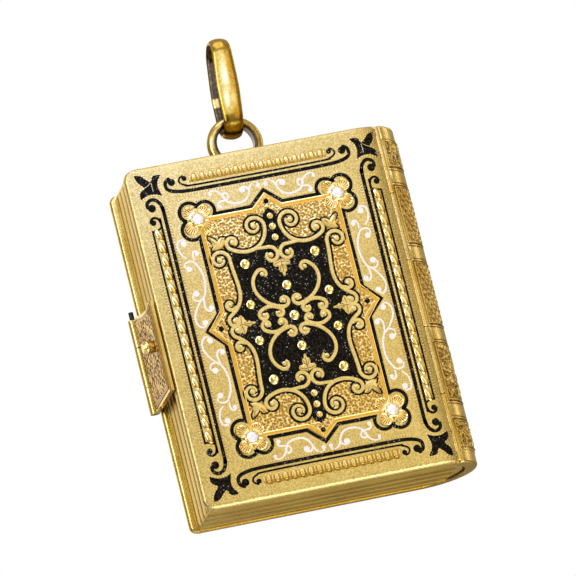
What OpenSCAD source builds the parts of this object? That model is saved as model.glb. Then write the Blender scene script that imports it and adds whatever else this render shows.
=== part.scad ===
// Book-shaped pendant watch: a gold case made like a closed book, with a hinged front cover,
// a hinged clasp on the fore-edge, a soldered loop and a long bail. All sizes in millimetres.
// The watch hangs upright: +Z is up, the front cover faces -Y and the spine is at +X.
// The origin is the top of the bail's opening, where a chain or ribbon bears.

/* [Case] */
// Height of the covers
case_h = 35.8; // [35:0.1:37]
// Width from fore-edge to the back of the spine
case_w = 29.2; // [28.8:0.1:30]
// Thickness over both covers
case_t = 10; // [9.8:0.1:10.4]
// Thickness of a cover's sheet
sheet = 1; // [0.9:0.05:1.05]
// Rounding of the cover's long edges
edge_r = 0.45; // [0.3:0.05:0.45]
// Rounding of the covers' fore-edge corners, seen from the front
corner_r = 1.2; // [0.6:0.1:2]

/* [Pages] */
// Height of the block of pages
block_h = 35.4; // [34.6:0.1:35.4]
// Setback of the pages from the fore-edge
page_setback = 0.7; // [0.5:0.1:1]
// Depth of the fine grooves that mark the leaves
groove = 0.12; // [0.05:0.01:0.2]

/* [Cover hinge] */
// Angle round the spine at which the front cover joins it
joint_angle = 30; // [28:1:32]
// Radius of the hinge knuckles
knuckle_r = 0.3; // [0.28:0.01:0.32]
// Radius of the hinge pin
hinge_pin_r = 0.14; // [0.12:0.01:0.15]
// Number of knuckles
knuckles = 5; // [3:2:7]

/* [Clasp] */
// Height of the clasp's plate
clasp_h = 9.6; // [9:0.1:10]
// Thickness of the clasp's plate
clasp_t = 0.45; // [0.35:0.05:0.5]
// Radius of the clasp's barrel
barrel_r = 0.5; // [0.45:0.01:0.5]
// Radius of the clasp's pin
clasp_pin_r = 0.25; // [0.2:0.01:0.28]
// Radius of the thumb knob
knob_r = 0.65; // [0.5:0.05:0.7]

/* [Loop and bail] */
// Radius of the loop to the middle of its wire
loop_r = 2.2; // [2.2:0.05:2.4]
// Radius of the loop's wire
loop_wire_r = 0.7; // [0.6:0.05:0.7]
// Height of the opening inside the bail
bail_l = 9; // [8:0.1:10]
// Half depth of the opening inside the bail
bail_half = 1.4; // [1.2:0.1:1.8]
// Width of the bail's band halfway up, where it is broadest
bail_w = 2.3; // [2:0.05:2.35]
// Width of the bail's band round its ends
bail_end_w = 1.95; // [1.6:0.05:1.95]
// Thickness of the bail's band
bail_t = 0.8; // [0.7:0.05:0.8]
// Lean of the bail from upright, in degrees
bail_lean = 4; // [0:1:5]

/* [Ornament] */
// Distance of the stones from the middle, to the side
stone_x = 7.3; // [7.2:0.05:7.4]
// Distance of the stones from the middle, up and down
stone_z = 11.5; // [11.4:0.05:11.6]
// Radius of a stone
stone_r = 0.58; // [0.5:0.01:0.62]
// Radius of a petal of the quatrefoils
petal_r = 0.72; // [0.7:0.01:0.76]
// Height of the scrolls above the enamel
scroll_rise = 0.08; // [0.05:0.01:0.12]
// Width of the scrolls
scroll_w = 0.44; // [0.38:0.01:0.46]
// Number of gadroons in a row and of beads in a column
repeats = 16; // [14:1:16]

/* [Watch inside] */
// Radius of the dial
dial_r = 10.4; // [9.8:0.1:10.5]
// Radius of the hands' arbor
arbor_r = 0.3; // [0.25:0.01:0.35]

/* [Hidden] */
$fn = 64;

clear = 0.02;             // gap between pieces that are fastened together
far = 60;                 // larger than the whole watch
spine_r = case_t / 2;     // outside radius of the rounded spine
spine_x = 10.6;           // middle of the spine's round, from the middle of the ornament
fore_x = spine_x + spine_r - case_w;
face_y = -spine_r;        // outside of the front cover
page_x = fore_x + page_setback;

// the hinge sits just inside the spine's outer skin
hinge_radius = spine_r - 0.18;
hinge_at = spine_point(joint_angle, hinge_radius);
hinge_clear = 0.06;       // round the other cover's knuckles
joint_half = 0.5;         // half the joint's opening, in degrees round the spine
knuckle_gap = 0.1;
knuckle_l = (block_h - (knuckles - 1) * knuckle_gap) / knuckles;

// the clasp's hinge
clasp_at = [fore_x - 0.6, spine_r - 0.7];
clasp_foot = -5.1;        // lower end of the barrel
clasp_gap = 0.15;         // plate to the covers' fore-edge
pin_stub = 5.7;           // the pin's visible top end
middle_top = 1.9;         // the back cover's own knuckle
middle_foot = -2.3;
knob_at = [-2.8, 0.1];    // y and z of the thumb knob

// where the book hangs under the leaning bail
seat = 1;                 // from the loop's centre up to the middle of the bail's lowest band
loop_rise = 19.8;         // loop's centre above the middle of the ornament
loop_side = -0.5;
hang = bail_l + bail_t / 2;
loop_at = [-hang * sin(bail_lean), -hang * cos(bail_lean) - seat];
book_at = [loop_at[0] - loop_side, loop_at[1] - loop_rise];

// dial recess in the block of pages
dial_x = -0.8;
dial_room = dial_r + 0.7;
dial_floor = -2.35;

// raised ornament: rows are eye x, eye z, outer radius, angle where it leaves, turns (minus is clockwise)
SCROLL_PAIRS = [
  [[-1.9, 9.75, 1.1, 0, -1.05], [-4.4, 8.5, 0.72, -125, 0.8], 0.5],
  [[-6.1, 6.95, 1.02, 0, -0.95], [-6.05, 0.5, 0.68, 120, -0.8], 0.45],
  [[-2.2, 4.65, 0.62, 120, 0.6], [-0.72, 1.66, 0.6, -115, -0.75], 0.45],
  [[-3, 0.5, 0.62, 95, -0.6], [-1.4, 0.45, 0.55, 85, 0.6], 0.35]
];
// rows are the start's x, z and heading, then the coil as above
SCROLL_BRANCHES = [
  [[-2.6, 7.45, 0], [-0.88, 6.5, 0.9, 90, 0.85]],
  [[-5.5, 1.95, 195], [-6.15, 2.2, 0.5, -70, 0.7]]
];
// x, z and radius of the round studs, each also mirrored
STUDS = [
  [0, 0, 0.5], [0, 3.2, 0.48], [0, 8.25, 0.38], [0, 9.4, 0.38], [0, 10.5, 0.34],
  [-3.65, 6.1, 0.5], [-4.1, 1.9, 0.46]
];
enamel_t = 0.12;
leaf_points = [
  [0, 6], [0.35, 5.85], [0.9, 5.72], [0.97, 5.45], [0.8, 5.2], [0.5, 5.22], [0.4, 5.12], [0.46, 4.85],
  [0.38, 4.55], [0.18, 4.45], [0.12, 4.1], [0, 4]
];
side_leaf_points = [
  [-5.9, 0], [-5.75, 0.45], [-5.65, 0.95], [-5.4, 1.08], [-5.15, 0.8], [-5.05, 0.5], [-4.85, 0.28],
  [-4.6, 0.34], [-4.4, 0.15], [-4, 0.1], [-3.95, 0]
];

// points, coils and bends of the scrolls
function spine_point(a, r) = [spine_x + r * sin(a), -r * cos(a)];
function last(v) = v[len(v) - 1];
function reversed(v) = [for (i = [len(v) - 1 : -1 : 0]) v[i]];
function coil(c, n) =
  let (start_r = c[2] * pow(0.4, abs(c[4])))
  [for (i = [0 : n])
    let (r = start_r * pow(c[2] / start_r, i / n), a = c[3] - 360 * c[4] * (1 - i / n))
    [c[0] + r * cos(a), c[1] + r * sin(a)]];
function leave(c) = c[3] + 90 * sign(c[4]);
function bend(p, hp, q, hq, k, n) =
  let (d = norm(q - p) * k, pp = p + d * [cos(hp), sin(hp)], qq = q - d * [cos(hq), sin(hq)])
  [for (i = [1 : n - 1]) let (t = i / n, s = 1 - t)
    s * s * s * p + 3 * s * s * t * pp + 3 * s * t * t * qq + t * t * t * q];
function scroll(a, b, k) =
  let (pa = coil(a, 9), pb = coil(b, 8))
  concat(pa, bend(last(pa), leave(a), last(pb), leave(b) + 180, k, 6), reversed(pb));
function branch(s, b) =
  let (pb = coil(b, 8), p = [s[0], s[1]])
  concat([p], bend(p, s[2], last(pb), leave(b) + 180, 0.4, 3), reversed(pb));

// moves a child drawn round the middle of the case to its place under the bail
module book() {
  translate([book_at[0], 0, book_at[1]]) children();
}

// stands a flat drawing (x, z) on the front cover, from y = base outwards by rise
module on_face(base, rise) {
  translate([0, base, 0]) rotate([90, 0, 0]) linear_extrude(height = rise) children();
}

// repeats a child in all four quarters of the cover
module quarters() {
  for (mx = [0, 1], mz = [0, 1]) mirror([mx, 0, 0]) mirror([0, 0, mz]) children();
}

// a cover seen from the front: square at the spine, with rounded corners at the fore-edge
module cover_outline() {
  x_end = spine_x + spine_r + 1;
  translate([0, far / 2, 0]) rotate([90, 0, 0]) linear_extrude(height = far) {
    translate([fore_x + corner_r, -case_h / 2]) square([x_end - fore_x - corner_r, case_h]);
    translate([fore_x, -case_h / 2 + corner_r]) square([corner_r + 0.1, case_h - 2 * corner_r]);
    for (s = [-1, 1]) translate([fore_x + corner_r, s * (case_h / 2 - corner_r)]) circle(corner_r);
  }
}

// wedge of the spine between two angles, counted from the front
module spine_wedge(a, b) {
  steps = 6;
  rim = [for (i = [0 : steps]) spine_point(a + (b - a) * i / steps, spine_r * 1.6)];
  polygon(concat([[spine_x, 0]], rim));
}

// the spine's wall between two angles
module spine_wall(a, b, outer, h) {
  translate([0, 0, -h / 2]) linear_extrude(height = h) intersection() {
    difference() {
      translate([spine_x, 0]) circle(outer, $fn = 128);
      translate([spine_x - 0.3, 0]) circle(spine_r - sheet, $fn = 128);
    }
    spine_wedge(a, b);
  }
}

// flat sheet of one cover with a rounded fore-edge, drawn for the front; side is -1 front, 1 back
module cover_sheet(side, round_both) {
  y0 = side < 0 ? face_y : spine_r - sheet;
  translate([0, 0, -case_h / 2]) linear_extrude(height = case_h) union() {
    translate([fore_x + edge_r, y0]) square([spine_x - fore_x - edge_r + 0.01, sheet]);
    if (round_both) {
      translate([fore_x + edge_r, y0 + edge_r]) circle(edge_r);
      translate([fore_x + edge_r, y0 + sheet - edge_r]) circle(edge_r);
      translate([fore_x, y0 + edge_r]) square([edge_r, sheet - 2 * edge_r]);
    } else {
      translate([fore_x + edge_r, y0 + edge_r]) circle(edge_r);
      translate([fore_x, y0 + edge_r]) square([edge_r, sheet - edge_r]);
    }
  }
}

// rounds the long top and bottom edges of the front face
module soft_top_and_foot() {
  translate([-far / 2, 0, 0]) rotate([90, 0, 90]) linear_extrude(height = far) union() {
    translate([face_y + edge_r, -case_h / 2]) square([far, case_h]);
    translate([face_y, -case_h / 2 + edge_r]) square([edge_r + 0.1, case_h - 2 * edge_r]);
    for (s = [-1, 1]) translate([face_y + edge_r, s * (case_h / 2 - edge_r)]) circle(edge_r);
  }
}

// middle height of knuckle i
function knuckle_z(i) = -block_h / 2 + knuckle_l / 2 + i * (knuckle_l + knuckle_gap);

// upright cylinder on the cover hinge's axis, round the height z
module at_hinge(z, r, h) {
  translate([hinge_at[0], hinge_at[1], z]) cylinder(h = h, r = r, center = true);
}

// knuckles whose number is odd or even, with the room they need cut from the other side
module with_knuckles(odd) {
  room = knuckle_r + hinge_clear;
  end_room = case_h - block_h + 2 * knuckle_gap;
  difference() {
    union() {
      difference() {
        children();
        for (i = [1 - odd : 2 : knuckles - 1]) at_hinge(knuckle_z(i), room, knuckle_l + 2 * knuckle_gap);
        for (s = [-1, 1]) at_hinge(s * case_h / 2, room, end_room);
      }
      for (i = [odd : 2 : knuckles - 1]) at_hinge(knuckle_z(i), knuckle_r, knuckle_l);
    }
    at_hinge(0, hinge_pin_r + clear, far);
  }
}

// outline of the central field of black enamel
function quarter_field() = [
  [0, 11.45], [-0.5, 10.95], [-0.72, 10.3], [-0.72, 9.4], [-0.95, 8.6], [-1.7, 7.75], [-3, 7.42],
  [-4.5, 7.5], [-5.05, 7.1], [-4.95, 5.5], [-4.85, 4.2], [-4.9, 3], [-5.3, 2], [-5.9, 1.4], [-6.4, 0.9],
  [-6.45, 0]
];
module field_outline() {
  q = quarter_field();
  n = len(q);
  polygon(concat(
    q,
    [for (i = [n - 2 : -1 : 0]) [q[i][0], -q[i][1]]],
    [for (i = [1 : n - 1]) [-q[i][0], -q[i][1]]],
    [for (i = [n - 2 : -1 : 1]) [-q[i][0], q[i][1]]]
  ));
}

// low ribbon with sloping sides along a path (x, z), standing on the enamel
module ribbon(path, w, rise) {
  n = len(path);
  section = [[-w / 2, 0], [-w / 4, rise], [w / 4, rise], [w / 2, 0]];
  points = [for (i = [0 : n - 1])
    let (p = path[max(i - 1, 0)], q = path[min(i + 1, n - 1)], d = (q - p) / norm(q - p))
    for (s = section) [path[i][0] - d[1] * s[0], face_y - s[1], path[i][1] + d[0] * s[0]]];
  sides = [for (i = [0 : n - 2], j = [0 : 3]) let (k = (j + 1) % 4, a = 4 * i)
    [a + j, a + k, a + 4 + k, a + 4 + j]];
  ends = [[3, 2, 1, 0], [4 * n - 4, 4 * n - 3, 4 * n - 2, 4 * n - 1]];
  polyhedron(points = points, faces = concat(sides, ends), convexity = 8);
}

// low round boss at the eye of a coil
module eye(c) {
  r = c[2] * 0.3;
  rise = scroll_rise * 1.2;
  translate([c[0], face_y, c[1]]) rotate([90, 0, 0]) cylinder(h = rise, r1 = r, r2 = r / 2, $fn = 10);
}

module bail() {
  mid = bail_half + bail_t / 2;
  straight = bail_l - 2 * bail_half;
  module band(w, t) {
    arc_r = (w * w / 4 + t * t / 4) / t;
    shift = arc_r - t / 2;
    intersection() {
      translate([-shift, 0]) circle(arc_r, $fn = 128);
      translate([shift, 0]) circle(arc_r, $fn = 128);
      square([t * 2, w - 0.06], center = true);
    }
  }
  // outline of the swelling halfway up, across and along the band
  module swelling() {
    end_half = bail_end_w * 0.3;
    rise = bail_w / 2 - end_half;
    arc_r = (straight * straight / 4 + rise * rise) / (2 * rise);
    intersection_for (s = [-1, 1]) translate([s * (arc_r - bail_w / 2), 0]) circle(arc_r, $fn = 256);
  }
  // the band's thickness lies along the profile's x and its width along y
  color("goldenrod") rotate([0, bail_lean, 0]) translate([0, 0, -bail_half]) rotate([0, 0, 90]) {
    rotate([90, 0, 0]) rotate_extrude(angle = 180) translate([mid, 0]) band(bail_end_w, bail_t);
    for (s = [-1, 1]) translate([s * mid, 0, -straight]) {
      linear_extrude(height = straight) band(bail_end_w, bail_t);
      intersection() {
        linear_extrude(height = straight) band(bail_w, bail_t + 0.02);
        translate([0, 0, straight / 2]) rotate([90, 0, 90]) linear_extrude(height = 4, center = true) swelling();
      }
    }
    translate([0, 0, -straight]) rotate([90, 0, 0]) rotate([0, 0, 180])
      rotate_extrude(angle = 180) translate([mid, 0]) band(bail_end_w, bail_t);
  }
}

module loop() {
  color("goldenrod") difference() {
    translate([loop_at[0], 0, loop_at[1]]) rotate([90, 0, 0])
      rotate_extrude() translate([loop_r, 0]) circle(loop_wire_r);
    translate([loop_at[0], 0, book_at[1] + block_h / 2 + clear - far / 2]) cube(far, center = true);
  }
}

module back_cover_with_spine() {
  band_z = [-12.4, -4.3, 4.3, 12.4];
  band_w = 1.8;
  band_rise = 0.1;
  joint = joint_angle + joint_half;
  color("gold") book() with_knuckles(0) {
    intersection() {
      union() {
        cover_sheet(1, true);
        spine_wall(joint, 180, spine_r, case_h);
      }
      cover_outline();
    }
    for (z = band_z) translate([0, 0, z]) spine_wall(joint, 180, spine_r + band_rise, band_w);
    clasp_middle_knuckle();
  }
}

// the back cover's own knuckle of the clasp's hinge, with its soldered leaf
module clasp_middle_knuckle() {
  h = middle_top - middle_foot;
  translate([0, 0, middle_foot]) linear_extrude(height = h) difference() {
    union() {
      translate(clasp_at) circle(barrel_r);
      translate([clasp_at[0], spine_r - 0.9]) square([1.1, 0.65]);
    }
    translate(clasp_at) circle(clasp_pin_r + clear);
  }
}

module page_block() {
  inside = spine_r - sheet - clear;
  leaf_y = [-0.8, 1, 2.8];
  spine_gap = 0.25;
  foot = 0.35;
  color("darkgoldenrod") book() difference() {
    translate([0, 0, -block_h / 2]) linear_extrude(height = block_h) difference() {
      union() {
        translate([page_x + foot, -inside]) square([spine_x - page_x - foot - 0.1, 2 * inside]);
        translate([page_x, -inside + foot]) square([foot + 0.1, 2 * (inside - foot)]);
        for (s = [-1, 1]) translate([page_x + foot, s * (inside - foot)]) circle(foot);
        translate([spine_x - 0.3, 0]) circle(spine_r - sheet - spine_gap, $fn = 128);
      }
      for (y = leaf_y) translate([page_x, y]) square(groove * 2, center = true);
    }
    translate([dial_x, dial_floor, 0]) rotate([90, 0, 0]) cylinder(h = far, r = dial_room, $fn = 128);
    translate([dial_x, dial_floor + 1.5, 0]) rotate([90, 0, 0]) cylinder(h = 2, r = arbor_r + clear);
  }
}

module front_cover() {
  recess = enamel_t - clear;
  color("khaki") book() with_knuckles(1) difference() {
    intersection() {
      union() {
        cover_sheet(-1, false);
        spine_wall(0, joint_angle - joint_half, spine_r, case_h);
      }
      cover_outline();
      soft_top_and_foot();
    }
    on_face(face_y + recess, 1) field_outline();
  }
}

module hinge_pin() {
  color("gold") book() translate([hinge_at[0], hinge_at[1], -block_h / 2 + clear])
    cylinder(h = block_h - 2 * clear, r = hinge_pin_r);
}

module clasp() {
  top = clasp_h / 2;
  foot = clasp_foot - 0.2;
  back = clasp_at[1] - 0.3;
  front = face_y - 0.1;
  plate_x = fore_x - clasp_gap - clasp_t;
  bevel = 0.25;
  end_gap = 0.05;
  room_h = middle_top - middle_foot + 2 * end_gap;
  // outline of the plate, y and z, with the shallow ogee of its top edge
  plate = [
    [front, foot + 0.1], [1, foot + 0.1], [1.1, clasp_foot], [back, clasp_foot], [back, top],
    [1.8, top - 0.15], [0.9, top - 0.4], [-1.2, top - 0.75], [-3, top - 0.9], [front, top - 0.55]
  ];
  color("gold") book() difference() {
    union() {
      translate([plate_x, 0, 0]) rotate([90, 0, 90]) linear_extrude(height = clasp_t) polygon(plate);
      translate([clasp_at[0], clasp_at[1], clasp_foot]) cylinder(h = top - clasp_foot, r = barrel_r);
      translate([plate_x, clasp_at[1] - 0.6, clasp_foot]) cube([clasp_t, 0.5, top - clasp_foot]);
      // thumb knob, turned about the side direction
      translate([plate_x + 0.1, knob_at[0], knob_at[1]]) rotate([0, -90, 0]) rotate_extrude() union() {
        square([knob_r * 0.88, 0.9]);
        translate([0, 0.5]) square([knob_r, 0.4]);
        intersection() {
          translate([0, 0.9]) circle(knob_r);
          translate([0, 0.9]) square([knob_r, 0.4]);
        }
      }
    }
    // room for the back cover's knuckle
    translate([clasp_at[0], clasp_at[1], middle_foot - end_gap]) {
      cylinder(h = room_h, r = barrel_r + 0.08);
      translate([-1, -0.58, 0]) cube([2, 2, room_h]);
    }
    translate([clasp_at[0], clasp_at[1], -far / 2]) cylinder(h = far, r = clasp_pin_r + clear);
    // bright bevel on the plate's front edge
    translate([plate_x, front, 0]) rotate([0, 0, 45]) cube([bevel, bevel, far], center = true);
  }
}

module clasp_pin() {
  color("dimgray") book() translate([clasp_at[0], clasp_at[1], clasp_foot])
    cylinder(h = pin_stub - clasp_foot, r = clasp_pin_r);
}

module black_enamel() {
  color("black") book() on_face(face_y + enamel_t - clear, enamel_t - clear) field_outline();
}

module scrollwork() {
  color("gold") book() quarters() {
    for (s = SCROLL_PAIRS) {
      ribbon(scroll(s[0], s[1], s[2]), scroll_w, scroll_rise);
      eye(s[0]);
      eye(s[1]);
    }
    for (s = SCROLL_BRANCHES) {
      ribbon(branch(s[0], s[1]), scroll_w * 0.9, scroll_rise);
      eye(s[1]);
    }
    on_face(face_y, scroll_rise) polygon(leaf_points);
    on_face(face_y, scroll_rise) polygon(side_leaf_points);
  }
}

// round dome of radius r and the given rise, standing on the cover
module dome(r, rise) {
  ball = (r * r + rise * rise) / (2 * rise);
  translate([0, face_y, 0]) intersection() {
    translate([0, ball - rise, 0]) sphere(ball, $fn = 180);
    translate([0, -far / 2, 0]) cube(far, center = true);
  }
}

// turned studs with a sloping edge and a punched middle
module gold_studs() {
  rise = 0.16;
  edge = 0.05;
  color("gold") book() for (s = STUDS, mx = s[0] == 0 ? [1] : [-1, 1], mz = s[1] == 0 ? [1] : [-1, 1])
    translate([mx * s[0], face_y, mz * s[1]]) rotate([90, 0, 0]) rotate_extrude()
      polygon([[0, 0], [s[2], 0], [s[2], edge], [s[2] * 0.72, rise], [s[2] * 0.3, rise], [0, rise * 0.6]]);
}

module gadroon_rows() {
  row_z = 16;
  pitch = 0.88;
  r = 0.38;
  color("gold") book() for (s = [-1, 1], i = [0 : repeats - 1])
    translate([(i - (repeats - 1) / 2) * pitch, face_y, s * row_z]) intersection() {
      translate([0, r * 0.6, 0]) cylinder(h = 1, r = r, center = true);
      translate([0, -far / 2, 0]) cube(far, center = true);
    }
}

module bead_columns() {
  column_x = 11.4;
  pitch = 1.42;
  r = 0.28;
  color("gold") book() for (s = [-1, 1], i = [0 : repeats - 1])
    translate([s * column_x, face_y, (i - (repeats - 1) / 2) * pitch]) intersection() {
      union() {
        cylinder(h = pitch - 0.8, r = r, center = true, $fn = 32);
        for (e = [-1, 1]) translate([0, 0, e * (pitch - 0.8) / 2]) sphere(r, $fn = 32);
      }
      translate([0, -far / 2, 0]) cube(far, center = true);
    }
}

// four domed petals round a stone's collet; sx and sz choose the corner
module quatrefoil(sx, sz) {
  rise = 0.28;
  lobe = petal_r * 1.1;
  collet_rise = 0.34;
  color("gold") book() translate([sx * stone_x, 0, sz * stone_z]) difference() {
    union() {
      for (x = [-lobe, lobe], z = [-lobe, lobe]) translate([x, 0, z]) dome(petal_r, rise);
      translate([0, face_y, 0]) rotate([90, 0, 0]) cylinder(h = collet_rise, r = stone_r + 0.14);
    }
    translate([0, face_y - 0.08, 0]) rotate([90, 0, 0]) cylinder(h = 1, r = stone_r + clear);
  }
}

// white stone with a table, eight crown facets and a shallow pavilion in the collet
module stone(sx, sz) {
  girdle = 0.12;
  crown = 0.24;
  color("white") book() translate([sx * stone_x, face_y - 0.08 - clear, sz * stone_z]) rotate([90, 0, 0]) {
    cylinder(h = 0.12, r1 = stone_r * 0.8, r2 = stone_r, $fn = 8);
    translate([0, 0, 0.12]) cylinder(h = girdle, r = stone_r, $fn = 8);
    translate([0, 0, 0.12 + girdle]) cylinder(h = crown, r1 = stone_r, r2 = stone_r * 0.55, $fn = 8);
  }
}

module bezel() {
  color("gold") book() translate([dial_x, dial_floor - 0.25 - clear, 0]) rotate([90, 0, 0]) difference() {
    cylinder(h = 1.25, r = dial_room - clear, $fn = 128);
    translate([0, 0, 0.7]) cylinder(h = 1, r = dial_r - 0.02, $fn = 128);
    translate([0, 0, -1]) cylinder(h = 4, r = dial_r - 0.5, $fn = 128);
  }
}

module crystal() {
  color("lightblue") book() translate([dial_x, dial_floor - 0.97 - clear, 0]) rotate([90, 0, 0])
    cylinder(h = 0.4, r = dial_r - 0.05, $fn = 128);
}

module dial() {
  color("white") book() translate([dial_x, dial_floor - clear, 0]) rotate([90, 0, 0]) difference() {
    cylinder(h = 0.23, r = dial_room - 0.1, $fn = 128);
    translate([0, 0, -1]) cylinder(h = 3, r = arbor_r + clear);
  }
}

module arbor() {
  color("gold") book() translate([dial_x, dial_floor + 0.4, 0]) rotate([90, 0, 0])
    cylinder(h = 1.25, r = arbor_r);
}

// a slim tapered hand with a round hub, pointing up, at depth y
module hand(y, length, w) {
  thick = 0.1;
  hub = 0.7;
  translate([dial_x, y, 0]) rotate([90, 0, 0]) linear_extrude(height = thick) difference() {
    union() {
      circle(hub);
      polygon([[-w / 2, 0], [w / 2, 0], [w / 2, length * 0.7], [0, length], [-w / 2, length * 0.7]]);
    }
    circle(arbor_r + clear);
  }
}

module hour_hand() {
  color("navy") book() rotate_about_dial(-55) hand(-2.67, 5.2, 0.6);
}

module minute_hand() {
  color("navy") book() rotate_about_dial(60) hand(-2.87, 8.2, 0.45);
}

module rotate_about_dial(a) {
  translate([dial_x, 0, 0]) rotate([0, a, 0]) translate([-dial_x, 0, 0]) children();
}

bail();
loop();
back_cover_with_spine();
page_block();
front_cover();
hinge_pin();
clasp();
clasp_pin();
black_enamel();
scrollwork();
gold_studs();
gadroon_rows();
bead_columns();
quatrefoil(-1, 1);  // quatrefoil_top_left
quatrefoil(1, 1);  // quatrefoil_top_right
quatrefoil(-1, -1);  // quatrefoil_bottom_left
quatrefoil(1, -1);  // quatrefoil_bottom_right
stone(-1, 1);  // stone_top_left
stone(1, 1);  // stone_top_right
stone(-1, -1);  // stone_bottom_left
stone(1, -1);  // stone_bottom_right
bezel();
crystal();
dial();
arbor();
hour_hand();
minute_hand();
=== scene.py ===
# Book-shaped gold and enamel pendant watch: its fine relief and finishes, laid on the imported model.
import math

import bmesh
import bpy
import numpy as np
from mathutils import Matrix, Vector


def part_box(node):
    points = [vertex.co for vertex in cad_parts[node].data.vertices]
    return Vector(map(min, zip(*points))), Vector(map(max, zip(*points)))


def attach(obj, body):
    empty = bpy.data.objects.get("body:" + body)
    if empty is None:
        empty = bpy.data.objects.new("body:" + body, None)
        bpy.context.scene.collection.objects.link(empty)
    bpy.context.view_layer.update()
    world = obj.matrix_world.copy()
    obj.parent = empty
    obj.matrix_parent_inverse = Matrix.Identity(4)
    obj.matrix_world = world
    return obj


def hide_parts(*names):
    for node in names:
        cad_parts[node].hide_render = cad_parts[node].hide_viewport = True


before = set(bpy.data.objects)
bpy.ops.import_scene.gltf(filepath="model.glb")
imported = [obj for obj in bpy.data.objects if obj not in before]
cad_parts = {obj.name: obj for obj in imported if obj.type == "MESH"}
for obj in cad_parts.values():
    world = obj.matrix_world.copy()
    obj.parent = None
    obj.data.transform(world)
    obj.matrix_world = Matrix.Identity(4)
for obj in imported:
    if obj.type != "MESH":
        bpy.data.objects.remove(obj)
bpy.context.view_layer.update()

mm = 0.001
under = -0.03                               # raised work starts this far below the cover's face, so no gap shows

# the case, in millimetres from the middle of the ornament; x to the spine, y to the back, z up
fieldLow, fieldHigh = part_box("black_enamel")
coverLow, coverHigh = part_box("front_cover")
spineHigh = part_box("back_cover_with_spine")[1]
pageLow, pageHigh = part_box("page_block")
middleX = (fieldLow.x + fieldHigh.x) / 2 / mm
middleZ = (fieldLow.z + fieldHigh.z) / 2 / mm
case = {
    "halfHeight": (coverHigh.z - coverLow.z) / 2 / mm,
    "radius": -coverLow.y / mm,             # spine's outside, and half the thickness
    "foreX": coverLow.x / mm - middleX,
    "bandRise": 0.1,
    "sheet": 1.0,
    "edge": 0.45,                           # soft edge of the covers
    "corner": 1.2,                          # corners seen from the front
    "backCorner": 0.7,
    "cornerReach": 3,                       # the round corners draw the fore-edge in over this width
    "hingeAngle": 30,
    "hingeRadius": 4.82,
    "knuckleRadius": 0.3,
    "knuckles": 5,
    "knuckleGap": 0.1,
    "knuckleBevel": 0.05,
}
case["spineX"] = spineHigh.x / mm - middleX - case["radius"] - case["bandRise"]
pages = {
    "foreX": pageLow.x / mm - middleX,
    "halfHeight": (pageHigh.z - pageLow.z) / 2 / mm,
    "halfDepth": pageHigh.y / mm,
}


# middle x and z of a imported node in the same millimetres, with its two corners in metres
def middleOf(node):
    low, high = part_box(node)
    return (low.x + high.x) / 2 / mm - middleX, (low.z + high.z) / 2 / mm - middleZ, low, high


# quads between neighbouring rows and columns of a grid; a wrapped direction closes on itself
def gridFaces(rows, cols, wrapRows=False, wrapCols=True):
    r = np.arange(rows if wrapRows else rows - 1)[:, None]
    c = np.arange(cols if wrapCols else cols - 1)[None, :]
    nextR, nextC = (r + 1) % rows, (c + 1) % cols
    corners = [r * cols + c, r * cols + nextC, nextR * cols + nextC, nextR * cols + c]
    return np.stack(np.broadcast_arrays(*corners), -1).reshape(-1, 4)


# a part is points (book millimetres), quads and one relief value a point: 0 in a hollow, 1 on a crest; the gold
# finishes paint shade by it, amber and brown towards the hollows
def part(points, faces, relief=1.0):
    points = np.asarray(points, float).reshape(-1, 3)
    return points, np.asarray(faces), np.broadcast_to(np.asarray(relief, float).ravel(), len(points))


# point x, z of the front cover raised by h: flat up to the spine's middle, then round it
def onCover(x, z, h):
    over = np.clip(x - case["spineX"], 0, case["radius"] * 0.95) / case["radius"]
    reach = case["radius"] + h
    return np.stack(np.broadcast_arrays(x + h * over, -reach * np.sqrt(1 - over ** 2), z), -1)


# point of the spine at an angle from the front and a radius
def onSpine(degrees, z, radius):
    a = np.radians(degrees)
    x = case["spineX"] + radius * np.sin(a)
    return np.stack(np.broadcast_arrays(x, -radius * np.cos(a), z), -1)


# joins parts into one finished object that rides on a body
def addPiece(name, parts, material, body, hides=(), sharp=38, closed=True):
    starts = np.cumsum([0] + [len(p[0]) for p in parts])
    points = np.concatenate([p[0] for p in parts])
    faces = np.concatenate([p[1] + start for p, start in zip(parts, starts)])
    relief = np.concatenate([p[2] for p in parts])
    place = (points + [middleX, 0, middleZ]) * mm
    mesh = bpy.data.meshes.new(name)
    mesh.vertices.add(len(place))
    mesh.vertices.foreach_set("co", place.ravel())
    mesh.loops.add(faces.size)
    mesh.loops.foreach_set("vertex_index", faces.ravel())
    mesh.polygons.add(len(faces))
    mesh.polygons.foreach_set("loop_start", np.arange(len(faces)) * 4)
    mesh.update(calc_edges=True)
    # the painted shade, 1 - relief: it picks the gold finishes' crest, deep and pit colours
    mesh.attributes.new("paintedShade", "FLOAT", "POINT").data.foreach_set("value", 1 - relief)
    shape = bmesh.new()
    shape.from_mesh(mesh)
    bmesh.ops.remove_doubles(shape, verts=shape.verts, dist=2e-7)
    bmesh.ops.dissolve_degenerate(shape, edges=shape.edges, dist=1e-8)
    if closed:
        bmesh.ops.recalc_face_normals(shape, faces=shape.faces)
    shape.to_mesh(mesh)
    shape.free()
    mesh.polygons.foreach_set("use_smooth", np.ones(len(mesh.polygons), bool))
    if sharp:
        mesh.set_sharp_from_angle(angle=math.radians(sharp))
    piece = bpy.data.objects.new(name, mesh)
    bpy.context.scene.collection.objects.link(piece)
    mesh.materials.append(material)
    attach(piece, body)
    if hides:
        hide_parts(*hides)
    return piece
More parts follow.
